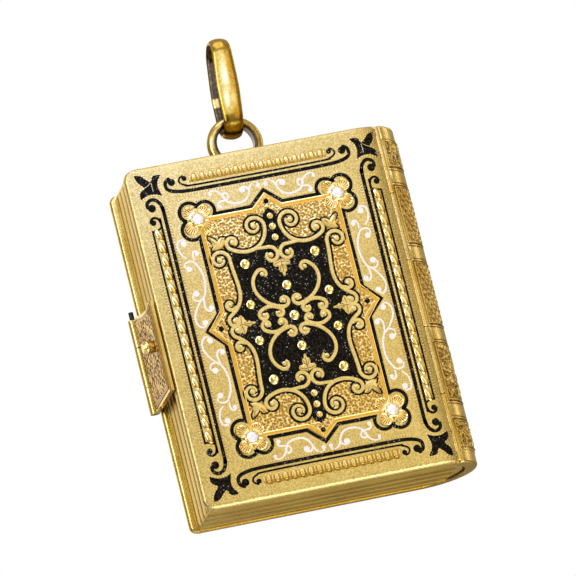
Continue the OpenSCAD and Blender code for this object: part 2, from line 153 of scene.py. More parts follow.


# smooth curve through given points (Catmull-Rom spline), with a few steps to each span
def curveThrough(points, steps=6):
    p = np.asarray(points, float)
    p = np.vstack([2 * p[0] - p[1], p, 2 * p[-1] - p[-2]])
    a, b, c, d = p[:-3, None], p[1:-2, None], p[2:-1, None], p[3:, None]
    t = (np.arange(steps) / steps)[None, :, None]
    spans = 0.5 * (2 * b + (c - a) * t + (2 * a - 5 * b + 4 * c - d) * t ** 2 + (3 * b - a - 3 * c + d) * t ** 3)
    return np.vstack([spans.reshape(-1, 2), p[-2]])


# the same path with points an even pitch apart, set off sideways by a distance
def evenly(path, pitch, offset=0.0, closed=False):
    path = np.vstack([path, path[:1]]) if closed else np.asarray(path, float)
    if offset:
        path = path + mitre(path, closed) * offset
    run = np.concatenate([[0], np.cumsum(np.linalg.norm(np.diff(path, axis=0), axis=1))])
    count = max(int(round(run[-1] / pitch)), 1)
    at = np.linspace(0, run[-1], count + 1)[: count if closed else None]
    return np.stack([np.interp(at, run, path[:, k]) for k in (0, 1)], 1)


# sideways direction at each point of a path, lengthened at corners so that a strip keeps its width
def mitre(path, closed=False):
    step = np.diff(path, axis=0)
    step = step / np.maximum(np.linalg.norm(step, axis=1, keepdims=True), 1e-9)
    side = np.stack([-step[:, 1], step[:, 0]], 1)
    if closed and np.allclose(path[0], path[-1]):
        before, after = np.vstack([side[-1:], side]), np.vstack([side, side[:1]])
    else:
        before, after = np.vstack([side[:1], side]), np.vstack([side, side[-1:]])
    return (before + after) / np.maximum(1 + (before * after).sum(1, keepdims=True), 0.35)


# across from -1 to 1, height from 0 to 1
sections = {
    "round": (-np.cos(np.linspace(0, np.pi, 9)), np.sin(np.linspace(0, np.pi, 9))),
    "flat": (np.array([-1, -0.9, 0.9, 1]), np.array([0, 1, 1, 0])),
    "strap": (np.array([-1, -0.92, -0.7, 0, 0.7, 0.92, 1]), np.array([0, 0.5, 0.92, 1, 0.92, 0.5, 0])),
    "channel": (np.array([-1, -0.9, -0.66, -0.52, 0.52, 0.66, 0.9, 1]), np.array([0, 0.9, 1, 0.68, 0.68, 1, 0.9, 0])),
    "low": (np.linspace(-1, 1, 7), 1 - np.linspace(-1, 1, 7) ** 4),
}
roundEnd = np.radians([0, 25, 50, 72])      # steps of the rounded end of a strip


# a section carried along a path on the cover: sideways across * width / 2, outwards base + height * (rise - base)
def ribbon(path, width, rise, section="round", base=under, closed=False, surface=onCover):
    path = np.asarray(path, float)
    across, height = sections[section]
    half = np.broadcast_to(width, len(path)) / 2
    if closed:
        side, scale = mitre(np.vstack([path, path[:1]]), True)[:-1], np.ones(len(path))
    else:
        side, ends = mitre(path), len(roundEnd)
        first = (path[0] - path[1]) / np.linalg.norm(path[0] - path[1])
        final = (path[-1] - path[-2]) / np.linalg.norm(path[-1] - path[-2])
        path = np.vstack([
            path[0] + first * half[0] * np.cos(roundEnd)[:, None], path,
            path[-1] + final * half[-1] * np.cos(roundEnd[::-1])[:, None]])
        side = np.vstack([np.repeat(side[:1], ends, 0), side, np.repeat(side[-1:], ends, 0)])
        scale = np.concatenate([np.sin(roundEnd), np.ones(len(half)), np.sin(roundEnd[::-1])])
        half = np.concatenate([np.repeat(half[0], ends), half, np.repeat(half[-1], ends)])
    wide = (half * scale)[:, None] * across[None]
    x = path[:, 0, None] + side[:, 0, None] * wide
    z = path[:, 1, None] + side[:, 1, None] * wide
    h = base + (rise - base) * height[None] * scale[:, None] ** 0.5
    relief = np.clip(h / max(rise, 1e-6), 0, 1)
    return part(surface(x, z, h), gridFaces(*x.shape, wrapRows=closed), relief)


# a part in one even tone: 1 as a crest, 0 as a hollow
def toned(made, tone):
    return made[0], made[1], 0 * made[2] + tone


# quads of a number of equal grids that follow each other
def manyGrids(count, rows, cols):
    starts = np.arange(count) * rows * cols
    return (gridFaces(rows, cols)[None] + starts[:, None, None]).reshape(-1, 4)


# profiles (radius, height) turned about the outward direction at many places at once
def turned(xs, zs, radii, heights, around=24, size=1.0, relief=None, surface=onCover):
    xs, zs = (np.atleast_1d(k).astype(float)[:, None, None] for k in (xs, zs))
    radii, heights = np.asarray(radii, float)[:, None], np.asarray(heights, float)
    size = np.broadcast_to(size, len(xs))[:, None, None]
    a = np.linspace(0, 2 * np.pi, around, endpoint=False)
    x, z = xs + size * radii * np.cos(a), zs + size * radii * np.sin(a)
    tone = heights / max(heights.max(), 1e-9) if relief is None else np.asarray(relief, float)
    points = surface(x, z, np.broadcast_to(heights[:, None], x.shape))
    return part(points, manyGrids(len(xs), len(radii), around), np.broadcast_to(tone[:, None], x.shape))


# cushions with a rounded outline: x = a * cos^p, z = b * sin^p, height = rise * (1 - t^2)^round
def cushions(xs, zs, a, b, rise, power=0.7, rings=6, around=20, roundness=0.5, shade=None, lean=0.0):
    xs, zs = (np.atleast_1d(k).astype(float)[:, None, None] for k in (xs, zs))
    t = np.append(np.sin(np.linspace(0, np.pi / 2, rings)), [1, 0])[None, :, None]
    phi = np.linspace(0, 2 * np.pi, around, endpoint=False)[None, None]
    across = np.sign(np.cos(phi)) * np.abs(np.cos(phi)) ** power
    along = np.sign(np.sin(phi)) * np.abs(np.sin(phi)) ** power
    x = xs + a * t * across + lean * b * t * along
    z = zs + b * t * along
    h = rise * (1 - t ** 2) ** roundness + 0 * phi
    h[:, -2:] = under
    tone = 1 - t ** 3 + 0 * phi if shade is None else shade(t, across, along)
    points = onCover(x, z, np.broadcast_to(h, x.shape))
    return part(points, manyGrids(len(xs), rings + 2, around), np.broadcast_to(tone, x.shape))


# a filled outline as rings from its edge to a point inside: place = centre + t * (edge - centre)
def plate(outline, centre, rise, bevel=0.04, rings=3, crown=0.0):
    edge = np.asarray(outline, float)
    centre = np.asarray(centre, float)
    reach = np.linalg.norm(edge - centre, axis=1).mean()
    t = np.concatenate([[0, 1, 1 - bevel / reach], np.linspace(1 - bevel / reach, 0, rings + 1)[1:]])
    h = np.concatenate([[under, under, rise], rise + crown * (1 - np.linspace(1, 0, rings + 1)[1:] ** 2)])
    place = centre + t[:, None, None] * (edge - centre)[None]
    x, z = place[..., 0], place[..., 1]
    tone = np.concatenate([[0, 0, 0.5], np.ones(rings)])[:, None] + 0 * x
    return part(onCover(x, z, h[:, None] + 0 * x), gridFaces(*x.shape), tone)


# logarithmic coil: the radius grows from radius * 0.4^turns to radius, ending at the angle where it leaves
def coil(eyeX, eyeZ, radius, leave, turns, steps=40):
    i = np.linspace(0, 1, steps)
    start = radius * 0.4 ** abs(turns)
    r = start * (radius / start) ** i
    a = np.radians(leave - 360 * turns * (1 - i))
    return np.stack([eyeX + r * np.cos(a), eyeZ + r * np.sin(a)], 1)


# direction in degrees in which a coil leaves its circle: a quarter turn on, the way it winds
def heading(c):
    return c[3] + 90 * np.sign(c[4])


# cubic Bezier from p to q whose handles point along the two headings, each share of the distance long
def bend(p, headP, q, headQ, share, steps=16):
    d = np.linalg.norm(q - p) * share
    a, b = np.radians([headP, headQ])
    pp = p + d * np.array([np.cos(a), np.sin(a)])
    qq = q - d * np.array([np.cos(b), np.sin(b)])
    t = np.linspace(0, 1, steps + 1)[1:-1, None]
    s = 1 - t
    return s ** 3 * p + 3 * s * s * t * pp + 3 * s * t * t * qq + t ** 3 * q


# two coils joined by one bend
def scroll(first, last, share):
    a, b = coil(*first), coil(*last)
    return np.vstack([a, bend(a[-1], heading(first), b[-1], heading(last) + 180, share, 24), b[::-1]])


# a stem that leaves a point along a heading and ends in a coil
def branch(start, last):
    b = coil(*last)
    p = np.array(start[:2], float)
    return np.vstack([p, bend(p, start[2], b[-1], heading(last) + 180, 0.4, 12), b[::-1]])


# smooth repeatable hills: a few sine waves in random directions, between -1 and 1
def hills(u, v, size, waves=7, seed=3):
    draw = np.random.default_rng(seed)
    angle, phase = draw.uniform(0, 2 * np.pi, waves), draw.uniform(0, 2 * np.pi, waves)
    length = size * draw.uniform(0.7, 1.4, waves)
    total = 0
    for a, p, w in zip(angle, phase, length):
        total = total + np.sin(2 * np.pi * (u * math.cos(a) + v * math.sin(a)) / w + p)
    return total / math.sqrt(waves) / 1.6


# distance to the nearest of one jittered point in each square cell of a lattice
def nearestPoint(u, v, cell, seed, jitter=0.8):
    draw = np.random.default_rng(seed)
    shift = draw.uniform(-jitter / 2, jitter / 2, (2, 256, 256))
    i, j = np.floor(u / cell).astype(int), np.floor(v / cell).astype(int)
    best = np.full(np.broadcast(u, v).shape, 9.0)
    for di in (-1, 0, 1):
        for dj in (-1, 0, 1):
            a, b = (i + di) % 256, (j + dj) % 256
            pu = (i + di + 0.5 + shift[0, a, b]) * cell
            pv = (j + dj + 0.5 + shift[1, a, b]) * cell
            best = np.minimum(best, np.hypot(u - pu, v - pv))
    return best


def toLinear(hexColour):
    c = np.array([int(hexColour[i:i + 2], 16) for i in (1, 3, 5)]) / 255
    linear = np.where(c <= 0.04045, c / 12.92, ((c + 0.055) / 1.055) ** 2.4)
    return (*linear.tolist(), 1.0)


# sets a node: settings name a property, an input or its ramp's colours; links name an input and what feeds it
def tune(tree, node, settings, links):
    for key, value in settings.items():
        if key == "ramp":
            for stop, (position, hexColour) in zip(node.color_ramp.elements, value):
                stop.position, stop.color = position, toLinear(hexColour)
        elif isinstance(key, int) or key in node.inputs:
            node.inputs[key].default_value = value
        else:
            setattr(node, key, value)
    for key, socket in links.items():
        tree.links.new(socket, node.inputs[key])
    return node


# adds one node with its settings and links
def addNode(tree, kind, settings=None, links=None):
    return tune(tree, tree.nodes.new("ShaderNode" + kind), settings or {}, links or {})


# a material with its shader, and the Object coordinates that every pattern reads
def newMaterial(name):
    material = bpy.data.materials.new(name)
    material.use_nodes = True
    tree = material.node_tree
    return material, tree, tree.nodes["Principled BSDF"], addNode(tree, "TexCoord").outputs["Object"]


# gold: crest, deep and pit colours by the piece's relief, painted shade from the crests into the hollows; soft clouds
# of tone, grain and hairline scratches
def goldFinish(name, look):
    material, tree, shader, place = newMaterial(name)
    clouds = addNode(tree, "TexNoise", {"Scale": 1 / (look["cloud"] * mm), "Detail": 3.0}, {"Vector": place})
    grain = addNode(tree, "TexNoise", {"Scale": 1 / (look["grain"] * mm), "Detail": 2.0, "Roughness": 0.6},
                    {"Vector": place})
    stretch = addNode(tree, "Mapping", {"Scale": look["brush"]}, {"Vector": place})
    scratches = addNode(tree, "TexNoise", {"Scale": 1 / (look["scratch"] * mm), "Detail": 2.0},
                        {"Vector": stretch.outputs[0]})
    mixed = addNode(tree, "Mix", {0: look["mottle"]}, {2: clouds.outputs[0], 3: grain.outputs[0]})
    low, high = look["toneSpan"]
    tone = addNode(tree, "ValToRGB", {"ramp": ((low, look["shade"]), (high, look["colour"]))}, {0: mixed.outputs[0]})
    paintedShade = addNode(tree, "Attribute", {"attribute_name": "paintedShade"})
    uneven = addNode(tree, "Math", {"operation": "MULTIPLY_ADD", 1: look["uneven"], 2: -look["uneven"] / 2},
                     {0: grain.outputs[0]})
    depth = addNode(tree, "Math", {"operation": "ADD", "use_clamp": True},
                    {0: paintedShade.outputs["Fac"], 1: uneven.outputs[0]})
    # painted shade: the deep colour from crestTo to deepFrom, then the pit colour down into the hollows
    sunk = addNode(tree, "MapRange", {"From Min": look["crestTo"], "From Max": look["deepFrom"]},
                   {"Value": depth.outputs[0]})
    warm = addNode(tree, "Mix", {"data_type": "RGBA", 7: toLinear(look["deep"])},
                   {0: sunk.outputs[0], 6: tone.outputs[0]})
    bottom = addNode(tree, "MapRange", {"From Min": look["deepFrom"], "From Max": 1.0}, {"Value": depth.outputs[0]})
    colour = addNode(tree, "Mix", {"data_type": "RGBA", 7: toLinear(look["pit"])},
                     {0: bottom.outputs[0], 6: warm.outputs[2]})
    rough = addNode(tree, "MapRange", {"From Min": 0.3, "From Max": 0.7, 3: look["rough"] - look["roughSpread"],
                                       4: look["rough"] + look["roughSpread"]}, {"Value": scratches.outputs[0]})
    grainBump = addNode(tree, "Bump", {"Strength": look["grainStrength"], "Distance": look["grainDepth"] * mm},
                        {"Height": grain.outputs[0]})
    scratchBump = addNode(tree, "Bump", {"Strength": look["scratchStrength"], "Distance": look["scratchDepth"] * mm},
                          {"Height": scratches.outputs[0], "Normal": grainBump.outputs[0]})
    tune(tree, shader, {"Metallic": 1.0}, {"Base Color": colour.outputs[2], "Roughness": rough.outputs[0],
                                           "Normal": scratchBump.outputs[0]})
    return material


# sizes in millimetres; deep and pit are the painted shade's colours, and crestTo and deepFrom say how far into a hollow
# the crest's and the deep colour reach
plainGold = {
    "colour": "#EAD898", "shade": "#C6B16C", "deep": "#B8862A", "pit": "#7A5216", "crestTo": 0.3, "deepFrom": 0.7,
    "mottle": 0.85, "cloud": 2.6, "grain": 0.15, "grainDepth": 0.04, "grainStrength": 0.9, "rough": 0.34,
    "roughSpread": 0.06, "scratch": 0.12, "scratchDepth": 0.004, "scratchStrength": 0.4, "brush": (1, 1, 1),
    "toneSpan": (0.39, 0.59), "uneven": 0.5,
}
# 18 ct gold, matted with a fine wheel: a pale soft sheen with a sandy grain
mattedGold = goldFinish("mattedGold", plainGold)
# the scrolls' gold: the same, a little paler where it was scraped level
scrapedGold = goldFinish("scrapedGold", plainGold | {
    "colour": "#F4E4A6", "shade": "#D8C27C", "rough": 0.3, "grainDepth": 0.02})
# rows struck with a milling punch: bright beads, painted shade olive in the grooves
milledGold = goldFinish("milledGold", plainGold | {
    "colour": "#F8EAB6", "shade": "#E4CE8C", "deep": "#9A7A2C", "pit": "#6A5018", "crestTo": 0.2, "deepFrom": 0.6,
    "rough": 0.25})
# 18 ct gold, polished: clear streaks of light and fine hairlines
polishedGold = goldFinish("polishedGold", plainGold | {
    "colour": "#EDD079", "shade": "#CFAB4C", "rough": 0.2, "roughSpread": 0.07, "grain": 0.3, "grainDepth": 0.012,
    "grainStrength": 0.4, "scratch": 0.25, "brush": (3, 3, 0.3), "mottle": 0.3})
# edges of the clasp and its button: a paler copy of the polished gold, painted highlight
paintedHighlightGold = goldFinish("paintedHighlightGold", plainGold | {
    "colour": "#F6E2A0", "shade": "#DDC072", "rough": 0.2, "roughSpread": 0.06, "grain": 0.3, "grainDepth": 0.004,
    "grainStrength": 0.4, "mottle": 0.3})
# the same gold on the bail and its loop, painted with light: pale painted highlights on the crown, olive painted shade
# beside it, grey-brown painted shade inside
paintedLightGold = goldFinish("paintedLightGold", plainGold | {
    "colour": "#F6E6AE", "shade": "#E6CE82", "deep": "#B89634", "pit": "#463C30", "crestTo": 0.0, "deepFrom": 0.42,
    "rough": 0.2, "roughSpread": 0.07, "grain": 0.3, "grainDepth": 0.016, "grainStrength": 0.5, "scratch": 0.25,
    "brush": (3, 3, 0.3), "mottle": 0.3})
# bars and sprigs struck from behind: soft pale crowns, painted shade olive amber in the dips
struckGold = goldFinish("struckGold", plainGold | {
    "colour": "#F6E6A8", "shade": "#E2CA80", "deep": "#C49A34", "pit": "#7E5A18", "crestTo": 0.15, "deepFrom": 0.6,
    "rough": 0.26, "grainDepth": 0.02, "grainStrength": 0.4, "mottle": 0.5})
# carved and chased gold, painted shade by relief: bright crests, amber flanks, brown where the tool went deep
carvedGold = goldFinish("carvedGold", plainGold | {
    "colour": "#FFF4C4", "shade": "#F4DE90", "deep": "#F0B62A", "pit": "#A06408", "crestTo": 0.15, "deepFrom": 0.52,
    "rough": 0.18, "grainDepth": 0.02, "grainStrength": 0.3, "mottle": 0.5})
# gold punched with a matting tool: painted highlight on the glittering rims, painted shade in the small brown pits
stippledGold = goldFinish("stippledGold", plainGold | {
    "colour": "#FFF4C8", "shade": "#F6E094", "deep": "#DEBC72", "pit": "#6A4620", "crestTo": 0.28, "deepFrom": 0.52,
    "rough": 0.18, "grainDepth": 0.02, "grainStrength": 0.5, "mottle": 0.6})
# engraved spine: an older, darker gold with bright cuts
engravedGold = goldFinish("engravedGold", plainGold | {
    "colour": "#F0DC96", "shade": "#D2B662", "deep": "#B88E36", "pit": "#6A4816", "crestTo": 0.25, "deepFrom": 0.65,
    "rough": 0.27, "grainDepth": 0.024, "grainStrength": 0.5, "mottle": 0.5})
# clasp: grey, with painted shade dark in the cuts
claspGold = goldFinish("claspGold", plainGold | {
    "colour": "#D2B25E", "shade": "#B08C40", "deep": "#88622A", "pit": "#2C1C10", "crestTo": 0.12, "deepFrom": 0.5,
    "rough": 0.2, "grainDepth": 0.02, "grainStrength": 0.4, "mottle": 0.4})
# satin gold of the page edges, drawn along the leaves
pageGold = goldFinish("pageGold", plainGold | {
    "colour": "#DAC058", "shade": "#C4A842", "deep": "#987622", "pit": "#665014", "crestTo": 0.15, "deepFrom": 0.7,
    "rough": 0.3, "roughSpread": 0.08, "scratch": 0.1, "brush": (0.06, 1, 0.06), "scratchStrength": 0.5, "cloud": 5,
    "mottle": 0.4, "grainDepth": 0.01})


# sizes in millimetres; dust is the fine grey that settles in the worn patches, and the last value a painted glow
plainEnamel = {"patch": 1.1, "dustGrain": 0.17, "dustSpan": (0.5, 0.66), "rippleDepth": 0.02, "gloss": 0.5, "selfGlow": 0.0}


# glass-like enamel: a clear gloss over a dense colour, with specks, a slight orange-peel ripple and, where set, a
# painted glow
def enamelFinish(name, look):
    material, tree, shader, place = newMaterial(name)
    specks = addNode(tree, "TexVoronoi", {"Scale": 1 / (look["speckPitch"] * mm)}, {"Vector": place})
    patches = addNode(tree, "TexNoise", {"Scale": 1 / (look["patch"] * mm), "Detail": 4.0}, {"Vector": place})
    small = addNode(tree, "Math", {"operation": "LESS_THAN", 1: look["speckSize"]}, {0: specks.outputs["Distance"]})
    where = addNode(tree, "Math", {"operation": "GREATER_THAN", 1: 0.5}, {0: patches.outputs[0]})
    speck = addNode(tree, "Math", {"operation": "MULTIPLY"}, {0: small.outputs[0], 1: where.outputs[0]})
    dust = addNode(tree, "TexNoise", {"Scale": 1 / (look["dustGrain"] * mm), "Detail": 2.0}, {"Vector": place})
    low, high = look["dustSpan"]
    base = addNode(tree, "ValToRGB", {"ramp": ((low, look["colour"]), (high, look["dust"]))}, {0: dust.outputs[0]})
    colour = addNode(tree, "Mix", {"data_type": "RGBA", 7: toLinear(look["speck"])},
                     {0: speck.outputs[0], 6: base.outputs[0]})
    rough = addNode(tree, "MapRange", {"From Min": 0.35, "From Max": 0.65, 3: look["rough"] * 0.7,
                                       4: look["rough"] * 1.5}, {"Value": patches.outputs[0]})
    ripple = addNode(tree, "TexNoise", {"Scale": 1 / (look["ripple"] * mm), "Detail": 2.0}, {"Vector": place})
    bump = addNode(tree, "Bump", {"Strength": 0.6, "Distance": look["rippleDepth"] * mm}, {"Height": ripple.outputs[0]})
    tune(tree, shader, {"Specular IOR Level": look["gloss"], "Emission Strength": look["selfGlow"]},
         {"Base Color": colour.outputs[2], "Roughness": rough.outputs[0], "Normal": bump.outputs[0],
          "Emission Color": colour.outputs[2]})
    return material


# black champleve enamel: near-black gloss with dust-fine pale specks
blackEnamel = enamelFinish("blackEnamel", plainEnamel | {
    "colour": "#040303", "speck": "#9A9488", "speckPitch": 0.26, "speckSize": 0.22, "rough": 0.28, "ripple": 0.2,
    "gloss": 0.08, "dust": "#2C2822"})
# white enamel: a milky, slightly lilac white, with a faint painted glow
whiteEnamel = enamelFinish("whiteEnamel", plainEnamel | {
    "colour": "#F2ECEE", "speck": "#D8CEDC", "speckPitch": 0.35, "speckSize": 0.16, "rough": 0.3, "ripple": 0.3,
    "dust": "#E6DEE2", "selfGlow": 0.04})
# vitreous dial enamel: warm white and smooth
dialEnamel = enamelFinish("dialEnamel", plainEnamel | {
    "colour": "#F1EDE2", "speck": "#E2DAC8", "speckPitch": 1.2, "speckSize": 0.05, "rough": 0.18, "ripple": 0.9,
    "dust": "#EEEADF"})

drawnSteel = {"hair": 0.2, "hairDepth": 0.003, "hairStrength": 0.3}


# steel with drawn hairlines between two tones
def steelFinish(name, dark, light, rough):
    material, tree, shader, place = newMaterial(name)
    hair = addNode(tree, "TexNoise", {"Scale": 1 / (drawnSteel["hair"] * mm), "Detail": 2.0}, {"Vector": place})
    tint = addNode(tree, "ValToRGB", {"ramp": ((0, dark), (1, light))}, {0: hair.outputs[0]})
    bump = addNode(tree, "Bump", {"Strength": drawnSteel["hairStrength"], "Distance": drawnSteel["hairDepth"] * mm},
                   {"Height": hair.outputs[0]})
    tune(tree, shader, {"Metallic": 1.0, "Roughness": rough},
         {"Base Color": tint.outputs[0], "Normal": bump.outputs[0]})
    return material


# tarnished steel pin: dark, with a dull glint
darkSteel = steelFinish("darkSteel", "#2A2623", "#4A443E", 0.38)
# heat-blued steel hands: deep blue, mirror-like
bluedSteel = steelFinish("bluedSteel", "#10204E", "#1E3C86", 0.2)

cutStone = {"paintedFire": 0.3, "white": "#FAF8FF", "lilac": "#DEDAE8", "rough": 0.06, "index": 2.2, "glow": 0.1}
clearGlass = {"colour": "#F7FBFA", "index": 1.5, "haze": 3, "rough": (0.01, 0.05)}


# cut white stones: brilliant white with a faint painted glow, and a faint lilac fire painted from facet to facet
def stoneFinish():
    material, tree, shader, place = newMaterial("whiteStone")
    paintedFire = addNode(tree, "TexVoronoi", {"Scale": 1 / (cutStone["paintedFire"] * mm)}, {"Vector": place})
    tint = addNode(tree, "ValToRGB", {"ramp": ((0, cutStone["white"]), (1, cutStone["lilac"]))},
                   {0: paintedFire.outputs["Distance"]})
    tune(tree, shader, {"Roughness": cutStone["rough"], "IOR": cutStone["index"],
                        "Emission Strength": cutStone["glow"]},
         {"Base Color": tint.outputs[0], "Emission Color": tint.outputs[0]})
    return material


# watch glass: clear, with a trace of green in its depth
def crystalFinish():
    material, tree, shader, place = newMaterial("watchGlass")
    haze = addNode(tree, "TexNoise", {"Scale": 1 / (clearGlass["haze"] * mm), "Detail": 2.0}, {"Vector": place})
    low, high = clearGlass["rough"]
    rough = addNode(tree, "MapRange", {3: low, 4: high}, {"Value": haze.outputs[0]})
    tune(tree, shader, {"Base Color": toLinear(clearGlass["colour"]), "IOR": clearGlass["index"],
                        "Transmission Weight": 1.0}, {"Roughness": rough.outputs[0]})
    return material


whiteStone = stoneFinish()
watchGlass = crystalFinish()
print("finishes made")

mirrors = [(1, 1), (-1, 1), (1, -1), (-1, -1)]


# the same path in all four quarters of the cover
def quarters(path, right=1.0):
    path = np.asarray(path, float)
    return [path * [sx if sx > 0 else -right, sz] for sx, sz in mirrors]


# front cover

# a shell between an outer and an inner chain of points, carried up the case row by row
def shell(outer, inner, outward, rows, inset, foreShift, rise=None):
    count = len(outer)
    section = np.vstack([outer, inner[::-1]])
    push = np.vstack([outward, outward[::-1] * 0])
    lift = np.zeros((len(rows), 2 * count)) if rise is None else np.hstack([rise, rise * 0])
    x = section[None, :, 0] + push[None, :, 0] * (lift - inset[:, None])
    y = section[None, :, 1] + push[None, :, 1] * (lift - inset[:, None])
    near = np.clip((case["foreX"] + case["cornerReach"] - x) / case["cornerReach"], 0, 1)
    x = x + foreShift[:, None] * near
    z = rows[:, None] + 0 * x
    sides = gridFaces(len(rows), 2 * count)
    i = np.arange(count - 1)
    cap = np.stack([i, i + 1, 2 * count - 2 - i, 2 * count - 1 - i], 1)
    faces = np.vstack([sides, cap, cap[:, ::-1] + (len(rows) - 1) * 2 * count])
    return part(np.stack([x, y, z], -1), faces)


# heights of the rows: close together where the corner and the soft edge turn, with what each draws in
def shellRows(edge, corner, extra=()):
    half = case["halfHeight"]
    turn = np.sin(np.radians(np.linspace(0, 90, 9)))
    upper = np.unique(np.round(np.concatenate([half - corner + corner * turn, half - edge + edge * turn]), 5))
    rows = np.unique(np.round(np.concatenate([-upper, upper, np.asarray(extra, float)]), 5))
    dEdge = np.clip(np.abs(rows) - (half - edge), 0, edge)
    dCorner = np.clip(np.abs(rows) - (half - corner), 0, corner)
    return rows, edge - np.sqrt(edge ** 2 - dEdge ** 2), corner - np.sqrt(corner ** 2 - dCorner ** 2)


# knuckles of the cover's hinge, alternately on the front cover and on the spine
def knuckles(first):
    long = (2 * pages["halfHeight"] - (case["knuckles"] - 1) * case["knuckleGap"]) / case["knuckles"]
    bevel = case["knuckleBevel"]
    centre = onSpine(case["hingeAngle"], 0, case["hingeRadius"])
    a = np.linspace(0, 2 * np.pi, 20, endpoint=False)
    r = case["knuckleRadius"] * np.array([0, 0.85, 1, 1, 0.85, 0])
    x, y = centre[0] + r[:, None] * np.cos(a), centre[1] + r[:, None] * np.sin(a)
    made = []
    for i in range(first, case["knuckles"], 2):
        foot = -pages["halfHeight"] + i * (long + case["knuckleGap"])
        z = foot + np.array([0, 0, bevel, long - bevel, long, long])
        made.append(part(np.stack([x, y, z[:, None] + 0 * x], -1), gridFaces(6, 20)))
    return made


spine = {
    "bands": (-12.4, -4.3, 4.3, 12.4), "jointAngle": 35.2, "jointFoot": 32.6,
    "coverEnd": 25.0, "coverFoot": 27.4, "chamfer": 0.18,      # edges cut back so that they pass when the cover opens
    # distance from a band's middle and height there: a flat crown with a fine groove near each edge
    "bandShape": ((0, 0.1), (0.62, 0.1), (0.68, 0.03), (0.74, 0.1), (0.86, 0.1), (0.93, 0)),
    "capRidge": 16.5, "ridgeShape": ((0, 0.05), (0.06, 0.05), (0.12, 0)), "darkLines": (0.68, 0.95),
    "lineWidth": 0.06, "headEdge": 0.25, "thicker": 0.3,       # wall at the spine, over the covers' sheet
}


# chains of points round a cover's section and the outward direction at each: rounded fore-edge, flat, then the
# spine's arc; side is -1 at the front and 1 at the back, and lip 1 rounds the inner corner at the fore-edge
def coverSection(side, angle, lip):
    radius, edge, foreX, spineX = (case[k] for k in ("radius", "edge", "foreX", "spineX"))
    lining = radius - case["sheet"]
    turn, turnIn = np.radians(np.linspace(180, 180 - side * 90, 7)), np.radians(np.linspace(180, 270, 7))
    roundX = foreX + edge + edge * np.cos(turn)
    flatX = np.linspace(foreX + edge, spineX, 12)[1:]
    arc = onSpine(angle, 0, np.append(np.full(len(angle) - 1, radius), radius - spine["chamfer"]))
    arcIn = onSpine(angle, 0, lining) - [spine["thicker"], 0, 0]
    outer = np.vstack([np.stack([roundX, side * (radius - edge) + edge * np.sin(turn)], 1),
                       np.stack([flatX, 0 * flatX + side * radius], 1), arc[:, :2]])
    inner = np.vstack([np.stack([roundX, side * lining + lip * (edge + edge * np.sin(turnIn))], 1),
                       np.stack([flatX, 0 * flatX + side * lining], 1), arcIn[:, :2]])
    outward = np.vstack([np.stack([np.cos(turn), np.sin(turn)], 1), np.stack([0 * flatX, 0 * flatX + side], 1),
                         np.stack([np.sin(np.radians(angle)), -np.cos(np.radians(angle))], 1)])
    return outer, inner, outward


def frontCover():
    angle = np.append(np.linspace(0, spine["coverEnd"], 8)[1:], spine["coverFoot"])
    body = shell(*coverSection(-1, angle, 0), *shellRows(case["edge"], case["corner"]))
    return addPiece("frontCoverShell", [body] + knuckles(1), mattedGold, "front_cover", ["front_cover"])


# the back cover's own knuckle of the clasp's hinge, and its soldered leaf
claspKnuckle = {"foot": -2.3, "top": 1.9, "radius": 0.5, "x": case["foreX"] - 0.6, "y": case["radius"] - 0.7,
                "bevel": 0.06, "leafX": (0.1, 1.1), "leafY": (-0.88, -0.27)}


def middleKnuckle():
    foot, top, bevel = claspKnuckle["foot"], claspKnuckle["top"], claspKnuckle["bevel"]
    a = np.linspace(0, 2 * np.pi, 28, endpoint=False)
    z = np.array([foot, foot, foot + bevel, top - bevel, top, top])[:, None] + 0 * a
    reach = (np.array([0, 0.88, 1, 1, 0.88, 0]) * claspKnuckle["radius"])[:, None]
    barrel = np.stack([claspKnuckle["x"] + reach * np.cos(a), claspKnuckle["y"] + reach * np.sin(a), z], -1)
    (nearX, farX), (lowY, highY) = claspKnuckle["leafX"], claspKnuckle["leafY"]
    x = claspKnuckle["x"] + np.array([nearX, farX, farX, nearX])[None] + 0 * z[:, :4]
    y = case["radius"] + np.array([lowY, lowY, highY, highY])[None] + 0 * x
    shrink = np.array([0, 1, 1, 1, 1, 0])[:, None]
    x, y = x[:, :1] + (x - x[:, :1]) * shrink, y[:, :1] + (y - y[:, :1]) * shrink
    return [part(barrel, gridFaces(6, 28)), part(np.stack([x, y, z[:, :4]], -1), gridFaces(6, 4))]


def backCoverAndSpine():
    angle = np.append(np.linspace(180, spine["jointAngle"], 48)[1:], spine["jointFoot"])
    section = coverSection(1, angle, 1)
    steps = [(z, spine["bandShape"]) for z in spine["bands"]]
    steps += [(z, spine["ridgeShape"]) for z in (-spine["capRidge"], spine["capRidge"])]
    extra = np.concatenate([[z + s * d for d, h in shape for s in (-1, 1)] for z, shape in steps])
    rows, inset, foreShift = shellRows(spine["headEdge"], case["backCorner"], extra)
    rise = sum(np.interp(np.abs(rows - z), [d for d, h in shape], [h for d, h in shape]) for z, shape in steps)
    onArc = np.concatenate([np.zeros(len(section[0]) - len(angle)), np.ones(len(angle) - 1), [0]])
    points, faces, tone = shell(*section, rows, inset, foreShift, rise[:, None] * onArc[None])
    away = np.abs(rows[:, None] - np.array(spine["bands"])).min(1)
    dark = sum(np.exp(-((away - d) / spine["lineWidth"]) ** 2) for d in spine["darkLines"])
    body = part(points, faces, 1 - np.outer(np.clip(dark, 0, 0.9), np.hstack([onArc, 0 * onArc])))
    return addPiece("backCoverAndSpine", [body] + knuckles(0) + middleKnuckle(), engravedGold, "case",
                    ["back_cover_with_spine"])


frontCover()
backCoverAndSpine()

spinePanels = {"from": 35.2, "to": 144.8, "pitch": 0.08, "rise": 0.15, "border": 0.22, "cutAt": 0.14, "cutWidth": 0.06,
               "panels": ((13.5, 16.25, "leaves"), (5.35, 11.35, "hatch"), (-3.25, 3.25, "hatch"),
                          (-11.35, -5.35, "leaves"), (-16.25, -13.5, "leaves"))}


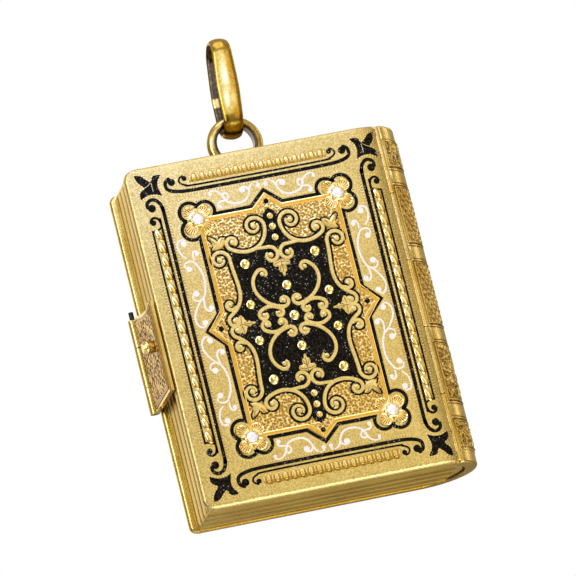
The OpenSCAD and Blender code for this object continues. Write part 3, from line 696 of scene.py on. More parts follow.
# engraved diamonds: low facets between two slanting families of cut lines, rising 2.2 * the distance to a cut
def hatchRelief(u, v, pitch=1.05, slant=1.2):
    a, b = (u * slant + v) / pitch, (u * slant - v) / pitch
    valley = np.minimum(np.abs(a - np.round(a)), np.abs(b - np.round(b)))
    return np.clip(0.05 + 2.2 * valley + 0.14 * hills(u, v, 0.7, 9, 5), 0, 1)


# chased foliage: curling stems where a warped ring pattern crests, over a cut ground
def leafRelief(u, v, curlPitch=0.62, cell=1.5):
    warpU, warpV = u + 0.4 * hills(u, v, 1.9, 6, 11), v + 0.4 * hills(u, v, 1.9, 6, 12)
    near = nearestPoint(warpU, warpV, cell, 21, 0.5)
    curl = 0.5 + 0.5 * np.cos(2 * np.pi * near / curlPitch)
    veins = 0.5 + 0.5 * np.cos(2 * np.pi * (warpU * 0.8 + warpV) / (curlPitch * 0.8))
    return np.clip(0.75 * curl ** 1.5 + 0.4 * veins * (near > curlPitch) + 0.12 * hills(u, v, 0.35, 7, 9), 0, 1)


# chased curls: thin cut rings round scattered centres, with punched dots between
def curlRelief(u, v, ringPitch=0.6, cell=1.15):
    near = nearestPoint(u + 0.15 * hills(u, v, 0.9, 6, 13), v + 0.15 * hills(u, v, 0.9, 6, 14), cell, 23, 0.7)
    rings = np.exp(-(np.sin(np.pi * near / ringPitch) / 0.36) ** 2)
    return np.clip(1 - 0.85 * rings - 1.1 * np.clip(hills(u, v, 0.55, 8, 15) - 0.1, 0, 1), 0, 1)


# plain border round a pattern, with one cut line in it: away is the distance to the panel's edge
def bordered(relief, away, look):
    cut = np.exp(-((away - look["cutAt"]) / look["cutWidth"]) ** 2)
    return np.where(away < look["border"], np.clip(0.9 - 0.8 * cut, 0, 1), relief)


# closes a displaced sheet over its foot: top rows and columns plus a rim at the base
def slab(surface, u, v, height, base, soften=1.0):
    h = np.pad(height, 1, constant_values=base)
    uu, vv = np.pad(u, 1, mode="edge"), np.pad(v, 1, mode="edge")
    tone = np.pad(height, 1, constant_values=height.min())
    tone = ((tone - tone.min()) / max(np.ptp(tone), 1e-9)) ** soften
    return part(surface(uu, vv, h), gridFaces(*h.shape, wrapCols=False), tone)


# point at a distance round the spine from the first panel's edge
def onPanel(a, z, h):
    return onSpine(spinePanels["from"] + np.degrees(a / case["radius"]), z, case["radius"] + h)


def spineEngraving():
    made = []
    arc = np.radians(spinePanels["to"] - spinePanels["from"]) * case["radius"]
    for low, high, kind in spinePanels["panels"]:
        cols, rows = int(arc / spinePanels["pitch"]), int((high - low) / spinePanels["pitch"])
        u, v = np.meshgrid(np.linspace(0, arc, cols), np.linspace(low, high, rows))
        relief = hatchRelief(u, v) if kind == "hatch" else leafRelief(u, v)
        away = np.minimum(np.minimum(u, arc - u), np.minimum(v - low, high - v))
        height = 0.012 + spinePanels["rise"] * bordered(relief, away, spinePanels)
        made.append(slab(onPanel, u, v, height, -0.02, 0.5))
    return addPiece("spineEngraving", made, engravedGold, "case", sharp=0, closed=False)


spineEngraving()
print("covers and spine made")

# the block of pages: fine leaves between three deeper grooves, carried round the three open sides
pageLook = {"leaf": 0.3, "leafDepth": 0.004, "grooves": (-3.98, -3.3, -2.6, -0.8, 1.0, 2.8, 3.98), "bulge": 0.11,
            "skin": 0.03, "corner": 0.4, "reach": 13, "grooveShade": 0.85, "grooveWidth": 0.16}


def pageEdges():
    half, foreX, r, leaf = pages["halfHeight"], pages["foreX"], pageLook["corner"], pageLook["leaf"]
    turn = np.radians(np.linspace(0, 90, 7))
    corner = np.stack([foreX + r - r * np.sin(turn), half - r + r * np.cos(turn)], 1)
    straight = np.linspace(pageLook["reach"], foreX + r, 14)[:-1]
    upper = np.vstack([np.stack([straight, 0 * straight + half], 1), corner])
    sideways = np.vstack([np.tile([0.0, 1.0], (13, 1)), np.stack([-np.sin(turn), np.cos(turn)], 1)])
    path = np.vstack([upper, upper[::-1] * [1, -1]])
    out = np.vstack([sideways, sideways[::-1] * [1, -1]])
    y = np.arange(-pages["halfDepth"], pages["halfDepth"] + 0.001, leaf / 4)
    wave = np.cos(2 * np.pi * y / leaf)
    grooves = np.array(pageLook["grooves"])
    i = np.clip(np.searchsorted(grooves, y, "right") - 1, 0, len(grooves) - 2)
    across = np.abs((y - grooves[i]) / (grooves[i + 1] - grooves[i]) * 2 - 1)
    h = pageLook["leafDepth"] * (0.5 + 0.5 * wave) ** 0.5
    h = h + pageLook["skin"] + pageLook["bulge"] * (1 - np.clip(across, 0, 1) ** 3)
    h = np.clip(h, 0.005, None)
    h[[0, -1]] = -0.02
    grid = path[:, None, :] + out[:, None, :] * h[None, :, None]
    points = np.stack([grid[..., 0], np.broadcast_to(y, grid.shape[:2]), grid[..., 1]], -1)
    tone = 1 - np.exp(-((1 - across) / pageLook["grooveWidth"]) ** 2) * pageLook["grooveShade"] - 0.03 * wave
    tone = np.broadcast_to(np.clip(tone, 0, 1), grid.shape[:2])
    made = part(points, gridFaces(*grid.shape[:2], wrapCols=False), tone)
    return addPiece("pageEdges", [made], pageGold, "case", sharp=0, closed=False)


pageEdges()

# ornament of the front cover, one quarter; x is negative to the fore-edge, z positive to the top
scrollPairs = (
    ((-1.9, 9.75, 1.1, 0, -1.05), (-4.4, 8.5, 0.72, -125, 0.8), 0.5),
    ((-6.1, 6.95, 1.02, 0, -0.95), (-6.05, 0.5, 0.68, 120, -0.8), 0.45),
    ((-2.22, 4.72, 0.56, 125, 0.45), (-0.72, 1.66, 0.6, -98, -0.75), 0.5),
    ((-3, 0.52, 0.56, 125, -0.7), (-1.45, 0.52, 0.48, 55, 0.7), 0.42),
)
scrollBranches = (
    ((-2.6, 7.45, 0), (-0.88, 6.5, 0.9, 90, 0.85)),
    ((-5.5, 1.95, 195), (-6.15, 2.2, 0.5, -70, 0.7)),
)
relief = {"scrollWidth": 0.47, "scrollRise": 0.13, "outline": 0.19, "enamel": 0.06, "eye": 0.3}


# width along a scroll: slim at its ends and full between
def scrollWidths(count, full):
    i = np.linspace(0, 1, count)
    return full * (0.7 + 0.3 * np.clip(np.minimum(i, 1 - i) / 0.3, 0, 1) ** 0.7)


def goldScrolls():
    gold, black = [], []
    paths = [(scroll(*row), (row[0], row[1])) for row in scrollPairs]
    paths += [(branch(*row), (row[1],)) for row in scrollBranches]
    for path, eyes in paths:
        width = scrollWidths(len(path), relief["scrollWidth"])
        for copy in quarters(path):
            gold.append(ribbon(copy, width, relief["scrollRise"], "strap"))
            black.append(ribbon(copy, width + 2 * relief["outline"], relief["enamel"], "flat"))
        for eyeX, eyeZ, size, *others in eyes:
            radii = np.array([0, 1, 0.9, 0.6, 0.3, 0]) * min(size * 0.45, relief["eye"])
            xs, zs = [eyeX * sx for sx, sz in mirrors], [eyeZ * sz for sx, sz in mirrors]
            gold.append(turned(xs, zs, radii, [under, 0.05, 0.14, 0.17, 0.18, 0.18], 18))
    return gold, black


# pendant palmette and side leaf of the enamel field, drawn as half outlines and mirrored
palmette = ((0, 6), (0.35, 5.85), (0.9, 5.72), (0.97, 5.45), (0.8, 5.2), (0.5, 5.22), (0.4, 5.12), (0.46, 4.85),
            (0.38, 4.55), (0.18, 4.45), (0.12, 4.1), (0, 4))
sideLeaf = ((-5.9, 0), (-5.75, 0.45), (-5.65, 0.95), (-5.4, 1.08), (-5.15, 0.8), (-5.05, 0.5), (-4.85, 0.28),
            (-4.6, 0.34), (-4.4, 0.15), (-4, 0.1), (-3.95, 0))


def leafOutline(half, flip):
    half = np.asarray(half, float)
    return np.vstack([half, (half[1:-1] * flip)[::-1]])


# veins cut in the leaves: half of them, mirrored
leafVeins = {
    "palmette": (((0, 5.9), (0, 5.4), (0, 4.5)), ((0.1, 5.65), (0.4, 5.6), (0.75, 5.5)),
                 ((0.05, 5.3), (0.2, 5.1), (0.3, 4.8))),
    "side": (((-5.7, 0), (-5.2, 0), (-4.4, 0)), ((-5.5, 0.15), (-5.45, 0.5), (-5.4, 0.8)),
             ((-5.2, 0.1), (-5.0, 0.2), (-4.75, 0.22))),
}


def goldLeaves():
    made = []
    for vein in leafVeins["palmette"] + leafVeins["side"]:
        made += [toned(ribbon(copy, 0.07, 0.15, "flat"), 0) for copy in quarters(curveThrough(vein, 4))]
    for sz in (1, -1):
        made.append(plate(leafOutline(palmette, [-1, 1]) * [1, sz], (0, 5.3 * sz), 0.12, 0.06, 3, 0.02))
    for sx in (1, -1):
        made.append(plate(leafOutline(sideLeaf, [1, -1]) * [sx, 1], (-5.3 * sx, 0), 0.12, 0.06, 3, 0.02))
    return made


# corner sprig of three lobes, gold inside a thin black line
sprig = (
    ((-6.25, 8.55), (-6.7, 9.1), (-6.8, 9.5), (-6.65, 9.65), (-6.35, 9.5), (-6.0, 9.2), (-5.8, 8.95)),
    ((-5.75, 9.05), (-5.6, 9.3), (-5.2, 9.35), (-4.9, 9.2)),
    ((-6.3, 8.55), (-6.6, 8.3), (-6.7, 8.0), (-6.5, 7.9)),
)
sprigCentre = (-6.0, 8.6)


def cornerSprigs():
    gold, black = [], []
    edge = np.vstack([sprig[0][1:], sprig[1], [(-4.9, 8.8), (-5.3, 8.2), (-6.0, 7.9)], sprig[2][:0:-1]])
    for copy in quarters(curveThrough(np.vstack([edge, edge[:1]]), 3)[:-1]):
        signs = np.sign(copy.mean(0)) * [-1, 1]
        gold.append(plate(copy, np.array(sprigCentre) * signs, 0.05, 0.1, 3, 0.06))
    for stroke in sprig:
        black += [ribbon(copy, 0.14, 0.075, "flat") for copy in quarters(curveThrough(stroke, 5))]
    for vein in (((-6.6, 9.4), (-6.4, 9.0), (-6.0, 8.65)), ((-5.1, 9.15), (-5.4, 9.0), (-5.65, 8.7))):
        gold += [ribbon(copy, 0.18, 0.15, "round") for copy in quarters(curveThrough(vein, 4))]
    return gold, black


studs = ((0, 0, 0.5), (0, 3.2, 0.48), (0, 8.25, 0.38), (0, 9.4, 0.38), (0, 10.5, 0.34), (-3.65, 6.1, 0.5),
         (-4.1, 1.9, 0.46))


def goldStuds():
    rows = {(x * sx, z * sz, r) for x, z, r in studs for sx, sz in mirrors}
    x, z, r = np.array(sorted(rows)).T
    # a sloping rim round a punched middle with a small raised bead
    radii = [0, 1, 1, 0.86, 0.66, 0.5, 0.36, 0.2, 0]
    heights = [under, 0, 0.08, 0.15, 0.17, 0.12, 0.08, 0.11, 0.12]
    # painted shade: darker at the rim's foot and in the punched middle
    tone = [0, 0.3, 0.7, 1, 1, 0.6, 0.5, 0.85, 1]
    return addPiece("goldStuds", [turned(x, z, radii, heights, 26, r, tone)], carvedGold, "front_cover",
                    ["gold_studs"])


# black champleve field: the outline of one quarter mirrored to a closed shape
fieldQuarter = ((0, 11.45), (-0.6, 10.95), (-0.9, 10.3), (-0.85, 9.4), (-0.95, 8.6), (-1.7, 7.75), (-3, 7.42),
                (-4.5, 7.5), (-5.05, 7.1), (-4.95, 5.5), (-4.85, 4.2), (-4.9, 3), (-5.3, 2), (-5.9, 1.4), (-6.4, 0.9),
                (-6.45, 0))


def wholeOutline(quarter):
    q = np.asarray(quarter, float)
    return np.vstack([q, (q * [1, -1])[::-1][1:], (q * [-1, -1])[1:], (q * [-1, 1])[::-1][1:-1]])


def enamelField():
    made = plate(evenly(wholeOutline(fieldQuarter), 0.25, closed=True), (0, 0), 0.062, 0.03, 6)
    return addPiece("blackEnamelField", [made], blackEnamel, "front_cover", ["black_enamel"])


# black frame: straight sides, a point in the middle of each, three round lobes at every corner
frameLine = {
    "width": 0.37, "apexTop": (0, 13.3), "topBend": (-1.65, 11.82), "side": (-7.53, 1.6), "apexSide": (-9.07, 0),
    # middle, radius, and the angles between which each lobe runs
    "lobes": ((-6.3, 12.3, 0.96, -30, 143), (-7.92, 12.35, 1.04, 30, 234), (-8.05, 10.55, 1.03, 119, 303)),
}


def framePath():
    arcs = []
    for x, z, r, start, end in frameLine["lobes"]:
        a = np.radians(np.linspace(start, end, 18))
        arcs.append(np.stack([x + r * np.cos(a), z + r * np.sin(a)], 1))
    ends = [frameLine[k] for k in ("apexTop", "topBend", "side", "apexSide")]
    return wholeOutline(np.vstack([ends[:2], *arcs, ends[2:]]))


# border lines of one quarter: their centre lines end in a curl round a boss, given as x, z and radius
lines = (
    {"width": 0.4, "boss": (-8.98, 15.82, 0.4),
     "path": ((-9.2, 16.2), (-9.55, 15.95), (-9.65, 15.55), (-9.55, 15.2), (-9.2, 14.95), (-8.6, 14.78), (-7.8, 14.68),
              (-6, 14.64), (0, 14.62))},
    {"width": 0.21, "boss": (-7.62, 15.97, 0.28),
     "path": ((-7.75, 16.25), (-8.05, 16.1), (-8.2, 15.8), (-8.05, 15.5), (-7.6, 15.28), (-6.8, 15.14), (0, 15.1))},
    {"width": 0.4, "boss": (-11.55, 13.52, 0.42),
     "path": ((-11.95, 13.7), (-11.92, 14.05), (-11.65, 14.33), (-11.25, 14.4), (-10.88, 14.2), (-10.6, 13.8),
              (-10.48, 13.2), (-10.45, 12.4), (-10.45, 0))},
    {"width": 0.27, "boss": (-11.75, 12.02, 0.31),
     "path": ((-12.02, 12.1), (-11.88, 12.38), (-11.55, 12.52), (-11.2, 12.35), (-11.03, 11.95), (-11.01, 11.4),
              (-11.01, 0))},
    {"width": 0.22, "boss": None, "path": ((-11.05, 11.4), (-11.35, 11.25), (-11.7, 11.15), (-12.03, 11.12))},
    {"width": 0.22, "boss": None, "path": ((-12.03, 11.15), (-12.03, 8), (-12.03, 0))},
)
# corner lily in five strokes between sharp points
lily = (
    ((-12.6, 17.2), (-12.2, 17.15), (-11.8, 16.95), (-11.5, 16.6), (-11.1, 16.25)),
    ((-11.0, 16.25), (-10.9, 16.55), (-10.7, 16.8), (-10.3, 16.88), (-9.95, 16.85)),
    ((-9.92, 16.75), (-10.1, 16.45), (-10.35, 16.1), (-10.42, 15.6), (-10.32, 15.1), (-10.2, 14.62)),
    ((-10.3, 14.65), (-10.75, 14.85), (-11.15, 14.92), (-11.6, 14.9), (-12.0, 14.75), (-12.35, 14.55)),
    ((-12.45, 14.65), (-12.43, 15.1), (-12.2, 15.45), (-11.85, 15.62)),
    ((-11.85, 15.8), (-12.15, 16.1), (-12.4, 16.5), (-12.55, 16.9)),
)
lilyCentre = (-11.15, 15.55)
lilySlits = (((-11.0, 15.2), (-11.02, 15.6), (-10.98, 16.1)), ((-11.95, 15.7), (-11.5, 15.85), (-11.1, 16.12)))


spineShare = 0.988                          # the border is drawn a little tighter on the spine's side
lineRise, plateRise = 0.03, 0.032           # of the black lines and of the lily


# the lily's outline in each corner, swollen by a share about its middle
def lilyOutlines(swell=1.0):
    edge = np.vstack([curveThrough(stroke, 4) for stroke in lily])
    return [(np.array(lilyCentre) + (edge - lilyCentre) * swell) * signs for signs in mirrors]


def blackLines(extra):
    made = list(extra)
    rise = relief["enamel"]
    for line in lines:
        path = curveThrough(line["path"], 7)
        made += [ribbon(copy, line["width"], lineRise, "flat") for copy in quarters(path, spineShare)]
        if line["boss"]:
            xs, zs = np.transpose(quarters(line["boss"][:2], spineShare))
            radii = np.array([0, 1, 0.94, 0.6, 0]) * line["boss"][2]
            made.append(turned(xs, zs, radii, [under, under, lineRise, lineRise + 0.004, lineRise + 0.006]))
    for edge, signs in zip(lilyOutlines(), mirrors):
        made.append(plate(edge, np.array(lilyCentre) * signs, plateRise, 0.03, 3))
    made.append(ribbon(framePath(), frameLine["width"], rise, "flat", closed=True))
    made.append(turned([0, 0, -7.62, 7.62], [12.1, -12.1, 0, 0], np.array([0, 1, 0.9, 0.5, 0]) * 0.29,
                       [under, under, rise + 0.02, rise + 0.05, rise + 0.06], 20))
    return addPiece("blackEnamelLines", made, blackEnamel, "front_cover")


# white enamel tendrils, one quarter: smooth strokes, and bosses at their curled ends
tendrils = (
    ((-5.5, 13.8), (-5.4, 14.08), (-5.1, 14.17), (-4.75, 14.08), (-4.4, 13.8), (-4.15, 13.4), (-4.0, 13.0),
     (-3.75, 12.72), (-3.25, 12.5), (-2.7, 12.44), (-2.15, 12.55), (-1.75, 12.85), (-1.5, 13.3), (-1.35, 13.7),
     (-1.12, 14.05), (-0.8, 14.25), (-0.45, 14.2), (-0.32, 13.95)),
    ((-4.18, 13.2), (-4.2, 13.5), (-3.98, 13.72), (-3.7, 13.6), (-3.63, 13.3), (-3.85, 13.0)),
    ((-4.05, 12.95), (-4.5, 12.92), (-4.82, 12.75), (-4.88, 12.45)),
    ((-2.1, 14.0), (-1.75, 13.98), (-1.5, 13.75), (-1.45, 13.45), (-1.62, 13.1)),
    ((-9.02, 9.4), (-9.12, 9.66), (-9.4, 9.75), (-9.75, 9.65), (-9.92, 9.35), (-9.95, 8.95), (-9.85, 8.5),
     (-9.65, 8.1), (-9.35, 7.8)),
    ((-8.62, 7.55), (-8.65, 8.0), (-8.52, 8.3), (-8.25, 8.38), (-8.05, 8.2)),
    ((-9.55, 6.75), (-9.7, 7.0), (-9.6, 7.3), (-9.3, 7.42), (-8.95, 7.42), (-8.65, 7.22), (-8.42, 6.85),
     (-8.2, 6.35), (-8.1, 5.8), (-8.07, 5.2), (-8.15, 4.6), (-8.35, 3.9), (-8.68, 3.45), (-9.15, 3.25),
     (-9.52, 3.42), (-9.66, 3.75), (-9.5, 4.05)),
    ((-8.8, 3.35), (-9.25, 2.9), (-9.65, 2.3), (-9.9, 1.75), (-9.92, 1.2), (-9.72, 0.75), (-9.4, 0.5), (-9.05, 0.58)),
    ((-8.55, 3.5), (-8.66, 2.95), (-8.66, 2.45), (-8.45, 2.1), (-8.15, 2.02)),
)
tendrilBosses = (
    (-5.42, 13.84, 0.17), (-0.38, 13.84, 0.2), (-4.72, 12.38, 0.2), (-2.1, 13.72, 0.3), (-9.25, 9.32, 0.28),
    (-8.17, 8.08, 0.2), (-9.33, 6.66, 0.27), (-9.22, 4.05, 0.29), (-9.02, 0.92, 0.29), (-8.05, 2.32, 0.27),
)


def whiteTendrils():
    made = []
    for stroke in tendrils:
        path = curveThrough(stroke, 6)
        i = np.linspace(0, 1, len(path))
        width = 0.18 + 0.08 * np.sin(np.pi * i)
        made += [ribbon(copy, width, 0.035, "low") for copy in quarters(path)]
    x, z, r = np.array([(x * sx, z * sz, r) for x, z, r in tendrilBosses for sx, sz in mirrors]).T
    made.append(turned(x, z, [0, 1, 0.9, 0.55, 0], [under, under, 0.03, 0.045, 0.05], 16, r * 1.15))
    return addPiece("whiteEnamelTendrils", made, whiteEnamel, "front_cover")


# gold border just inside the black frame: two cream ridges with an orange channel between, sharp at its points
innerBorder = ((0, 12.68), (-0.25, 12.43), (-1.42, 11.4), (-7.1, 11.4), (-7.1, 1.75), (-8.38, 0.25), (-8.62, 0))


def borderChannel():
    path = evenly(wholeOutline(innerBorder), 0.4, closed=True)
    return addPiece("borderChannel", [ribbon(path, 0.5, 0.08, "channel", closed=True)], carvedGold, "front_cover")


# matted ground inside the frame: pits scattered on a jittered lattice, low in each pit's middle; from each side a
# tapering tongue of it, tip long, runs on into the frame's point
ground = {"halfX": 7.0, "halfZ": 11.3, "pitch": 0.075, "cell": 0.24, "pit": 0.17, "depth": 0.048,
          "tipX": 1.45, "tipZ": 1.35, "mouthX": (1.75, 1.65), "mouthZ": (1.45, 1.35)}


def stippledGround():
    halfX, halfZ, cell = ground["halfX"], ground["halfZ"], ground["cell"]
    x, z = np.meshgrid(np.arange(-halfX, halfX, ground["pitch"]), np.arange(-halfZ, halfZ, ground["pitch"]))
    near = nearestPoint(x + 0.05 * hills(x, z, 0.5, 6, 2), z, cell, 4, 0.9)
    h = ground["depth"] * np.clip(near / ground["pit"], 0, 1) ** 2 + 0.004 * hills(x, z, 0.3, 6, 8)
    made = [slab(onCover, x, z, 0.004 + h, under)]
    t, s = np.meshgrid(np.linspace(0, 1, 16), np.linspace(-1, 1, 24))
    (wideX, taperX), (wideZ, taperZ) = ground["mouthX"], ground["mouthZ"]
    tongues = [(sx * (halfX + ground["tipX"] * t), s * (wideX - taperX * t)) for sx in (1, -1)]
    tongues += [(s * (wideZ - taperZ * t), sz * (halfZ + ground["tipZ"] * t)) for sz in (1, -1)]
    for x, z in tongues:
        near = nearestPoint(x, z, cell, 6, 0.9)
        made.append(slab(onCover, x, z, 0.01 + ground["depth"] * np.clip(near / ground["pit"], 0, 1) ** 1.5, under))
    return addPiece("stippledGround", made, stippledGold, "front_cover", sharp=0, closed=False)


# rows of punched beads beside the black lines: small bright domes along a narrow groove; each row has its tone of
# painted shade in the groove
punch = {
    "pitch": 0.3, "groove": 0.22, "bead": 0.12, "besideFrame": -0.36, "frameTone": 0.7,
    "roundLily": 1.16, "lilyTone": 0.6,
    "lines": ((((-8.3, 14.3), (-6, 14.27), (0, 14.25)), 0.6), (((-10.1, 13.6), (-10.1, 0)), 0.55),
              (((-10.74, 11.2), (-10.74, 0)), 0.55), (((-12.33, 11.2), (-12.33, 0)), 0.55)),
}


def punchRows():
    pitch = punch["pitch"]
    rows = [(evenly(copy, pitch), False, tone) for path, tone in punch["lines"] for copy in quarters(path, spineShare)]
    rows.append((evenly(framePath(), pitch, punch["besideFrame"], closed=True), True, punch["frameTone"]))
    rows += [(evenly(edge, pitch, closed=True), True, punch["lilyTone"]) for edge in lilyOutlines(punch["roundLily"])]
    at = np.vstack([path for path, closed, tone in rows])
    made = [turned(at[:, 0], at[:, 1], np.array([0, 1, 0.75, 0]) * punch["bead"], [under, under, 0.035, 0.05], 6,
                   relief=[0.6, 0.6, 1, 1])]
    made += [toned(ribbon(path, punch["groove"], 0.014, "flat", closed=closed), tone) for path, closed, tone in rows]
    for slit in lilySlits:
        made += [ribbon(copy, 0.06, 0.042, "round", base=0.02) for copy in quarters(curveThrough(slit, 4))[:2]]
    return made


# upright bars with a low rib between them, in a row along the head and the foot, over a sunk strip painted orange as
# shade between the bars, and small scallops outside them painted as their shadows; each pair of painted shade tones is
# for the head and the foot
gadroon = {"count": 16, "pitch": 0.88, "row": 15.92, "halfWidth": 0.25, "halfHeight": 0.43, "rise": 0.15,
           "ribWidth": 0.11, "ribHeight": 0.4, "ribRise": 0.1, "stripWidth": 1.08, "stripShades": (0.62, 0.5),
           "scallopAt": 0.53, "shadowTones": (0.55, 0.1)}


def gadroons():
    xs = (np.arange(gadroon["count"]) - (gadroon["count"] - 1) / 2) * gadroon["pitch"]
    ribs = np.append(xs - gadroon["pitch"] / 2, xs[-1] + gadroon["pitch"] / 2)
    made = []
    for s, stripShade, shadowTone in zip((-1, 1), gadroon["stripShades"][::-1], gadroon["shadowTones"][::-1]):
        row = s * gadroon["row"]
        strip = [(ribs[0] + 0.3, row + s * 0.02), (ribs[-1] - 0.3, row + s * 0.02)]
        made.append(toned(ribbon(strip, gadroon["stripWidth"], 0.008, "flat"), stripShade))
        made.append(cushions(xs, np.full(len(xs), row), gadroon["halfWidth"], gadroon["halfHeight"], gadroon["rise"],
                             0.45, 6, 24, 0.4))
        made.append(cushions(ribs, np.full(len(ribs), row - s * 0.04), gadroon["ribWidth"], gadroon["ribHeight"],
                             gadroon["ribRise"], 0.5, 5, 16))
        scallopRow = np.full(len(xs), row + s * gadroon["scallopAt"])
        made.append(toned(cushions(xs + 0.1, scallopRow, 0.2, 0.07, 0.03, 0.8, 4, 12), shadowTone))
    return addPiece("gadroons", made, struckGold, "front_cover", ["gadroon_rows"])


# twisted beads down each side: leaning drops, orange on the side away from the light
beads = {"count": 16, "pitch": 1.42, "x": 11.5, "halfWidth": 0.34, "halfHeight": 0.66, "rise": 0.2, "lean": -0.22}


# relief of one bead: amber on the lower side, away from the light
def beadShade(t, across, along):
    return np.clip(1.25 - 1.4 * np.clip(t * (across * 0.9 - along * 0.5), 0, 1), 0, 1)


def beadColumns():
    zs = (np.arange(beads["count"]) - (beads["count"] - 1) / 2) * beads["pitch"]
    made = [cushions(np.full(len(zs), side * beads["x"]), zs, beads["halfWidth"], beads["halfHeight"], beads["rise"],
                     0.9, 7, 20, 0.55, beadShade, beads["lean"]) for side in (-1, spineShare)]
    return addPiece("beadColumns", made, carvedGold, "front_cover", ["bead_columns"])


# a flower of four domed petals with cuts raying out from the stone: radius(angle) = D cos d + sqrt(a^2 - D^2 sin^2 d)
flower = {"spread": 0.79, "petal": 0.73, "rise": 0.2, "cuts": 40, "cutDepth": 0.05, "rings": 26, "around": 260,
          "rimAt": 0.86, "rimWidth": 0.12, "dishAt": 0.5, "dishWidth": 0.3, "seat": 0.75, "seatHeight": 0.2}
# the stone's collet: radius, height and tone
collet = ((0.5, under, 0), (0.74, under, 0), (0.72, 0.3, 0.6), (0.66, 0.35, 1), (0.6, 0.35, 1), (0.56, 0.28, 0.8),
          (0.5, under, 0))


def flowers():
    d, a, spread = flower["spread"] * math.sqrt(2), flower["petal"], flower["spread"]
    psi = np.linspace(0, 2 * np.pi, flower["around"], endpoint=False)
    off = (psi % (np.pi / 2)) - np.pi / 4
    reach = d * np.cos(off) + np.sqrt(np.clip(a ** 2 - (d * np.sin(off)) ** 2, 0, None))
    t = np.concatenate([[0], np.sin(np.linspace(0, np.pi / 2, flower["rings"]))[::-1]])
    r = t[:, None] * reach[None]
    r[0] = 0
    u, v = r * np.cos(psi), r * np.sin(psi)
    q = np.hypot(np.abs(u) - spread, np.abs(v) - spread)        # distance to the nearest petal's middle
    rim = np.exp(-((q / a - flower["rimAt"]) / flower["rimWidth"]) ** 2)
    dishShade = np.exp(-((q / a - flower["dishAt"]) / flower["dishWidth"]) ** 2) * np.clip((r - flower["seat"]) / 0.3, 0, 1)
    cut = (0.5 + 0.5 * np.cos(psi * flower["cuts"])) ** 4 * np.clip((r - 0.85) / 0.3, 0, 1) * (q < a * 0.78)
    h = flower["rise"] * (0.55 + 0.45 * rim + 0.2 * np.clip(1.1 - r, 0, 1)) * np.clip((1 - q / a) / 0.1, 0, 1) ** 0.5
    h = np.where(r < flower["seat"], flower["seatHeight"], h - flower["cutDepth"] * cut)
    # painted shade: the tone darkens in each petal's dish and along the cuts
    tone = np.clip(1 - 0.3 * dishShade * (1 - rim) - 0.7 * cut, 0, 1)
    h[0] = under
    h[1] = np.minimum(h[1], 0.02)
    # a foot under the outermost ring closes the rim
    u, v, tone = (np.vstack([k[:1], k[1:2], k[1:]]) for k in (u, v, tone))
    h = np.vstack([h[:1], np.full_like(r[:1], under), h[1:]])
    for side, sz in (("top", 1), ("bottom", -1)):
        for hand in ("left", "right"):
            node = f"quatrefoil_{side}_{hand}"
            x, z = middleOf(node)[:2]
            petals = part(onCover(u + x, v + z, h), gridFaces(*u.shape), tone)
            radii, heights, tones = zip(*collet)
            ring = turned(x, z, radii, heights, 32, relief=tones)
            name = side.capitalize() + hand.capitalize()
            addPiece("flower" + name, [petals, ring], carvedGold, "front_cover", [node])
            stone("stone" + name, f"stone_{side}_{hand}")


# shares of the stone's radius, and of its height for the girdle and the star facets' foot
facets = {"table": 0.55, "star": 0.8, "pavilion": 0.5, "girdleAt": 0.42, "starAt": 0.52, "belly": 0.05}


# cut stone: a table, star, kite and girdle facets above, a shallow pavilion below
def stone(name, node):
    x, z, low, high = middleOf(node)
    top, foot = -low.y / mm - case["radius"], -high.y / mm - case["radius"]
    girdle, belly = foot + (top - foot) * facets["girdleAt"], facets["belly"]
    # radius, turn and height of each ring from the table down
    radius, turn, height = np.array([
        (0, 0, top), (facets["table"], 0, top), (facets["star"], np.pi / 8, girdle + (top - girdle) * facets["starAt"]),
        (1, 0, girdle + belly), (1, 0, girdle), (facets["pavilion"], np.pi / 8, foot + belly), (0, 0, foot)]).T
    reach = radius[:, None] * (high.x - low.x) / 2 / mm
    a = np.arange(8) * np.pi / 4 + turn[:, None]
    made = part(onCover(x + reach * np.cos(a), z + reach * np.sin(a), height[:, None] + 0 * a), gridFaces(*a.shape))
    gem = addPiece(name, [made], whiteStone, "front_cover", [node], sharp=0)
    gem.data.polygons.foreach_set("use_smooth", np.zeros(len(gem.data.polygons), bool))


scrollGold, scrollBlack = goldScrolls()
sprigGold, sprigBlack = cornerSprigs()
addPiece("goldScrolls", scrollGold + goldLeaves(), scrapedGold, "front_cover", ["scrollwork"])
addPiece("cornerSprigs", [(p[0], p[1], p[2] * 0.8) for p in sprigGold], struckGold, "front_cover")
goldStuds()
enamelField()
blackLines(scrollBlack + sprigBlack)
whiteTendrils()
borderChannel()
stippledGround()
gadroons()
beadColumns()
flowers()

# fine milled line beside the cover's joint, with the punch marks
milled = {"pitch": 0.24, "x": 12.45, "ends": 0.8}
zRow = np.arange(-case["halfHeight"] + milled["ends"], case["halfHeight"] - milled["ends"], milled["pitch"])
milledDots = turned(np.full(len(zRow), milled["x"]), zRow, [0, 0.1, 0.07, 0], [under, under, 0.04, 0.055], 6,
                    relief=[0, 0, 0.7, 1])
addPiece("punchedRows", punchRows() + [milledDots], milledGold, "front_cover")
print("front ornament made")

# bail and loop

bail = {
    "inside": 1.4, "thick": 0.8, "wide": 1.95, "length": 9.0, "lean": 4, "swell": 0.18, "lens": 1.15,
    "seam": 0.62, "seamWidth": 0.0035,      # shares of the way round
    "sleeve": (0.6, 0.055),                 # middle and half length of the pale sleeve, as shares of the length
    # painted highlight spots: share of the length, its spread, share of the half width, its spread
    "paintedHighlight": ((0.38, 0.16, -0.15, 0.3), (0.68, 0.09, -0.35, 0.2), (0.68, 0.09, 0.3, 0.2)),
}


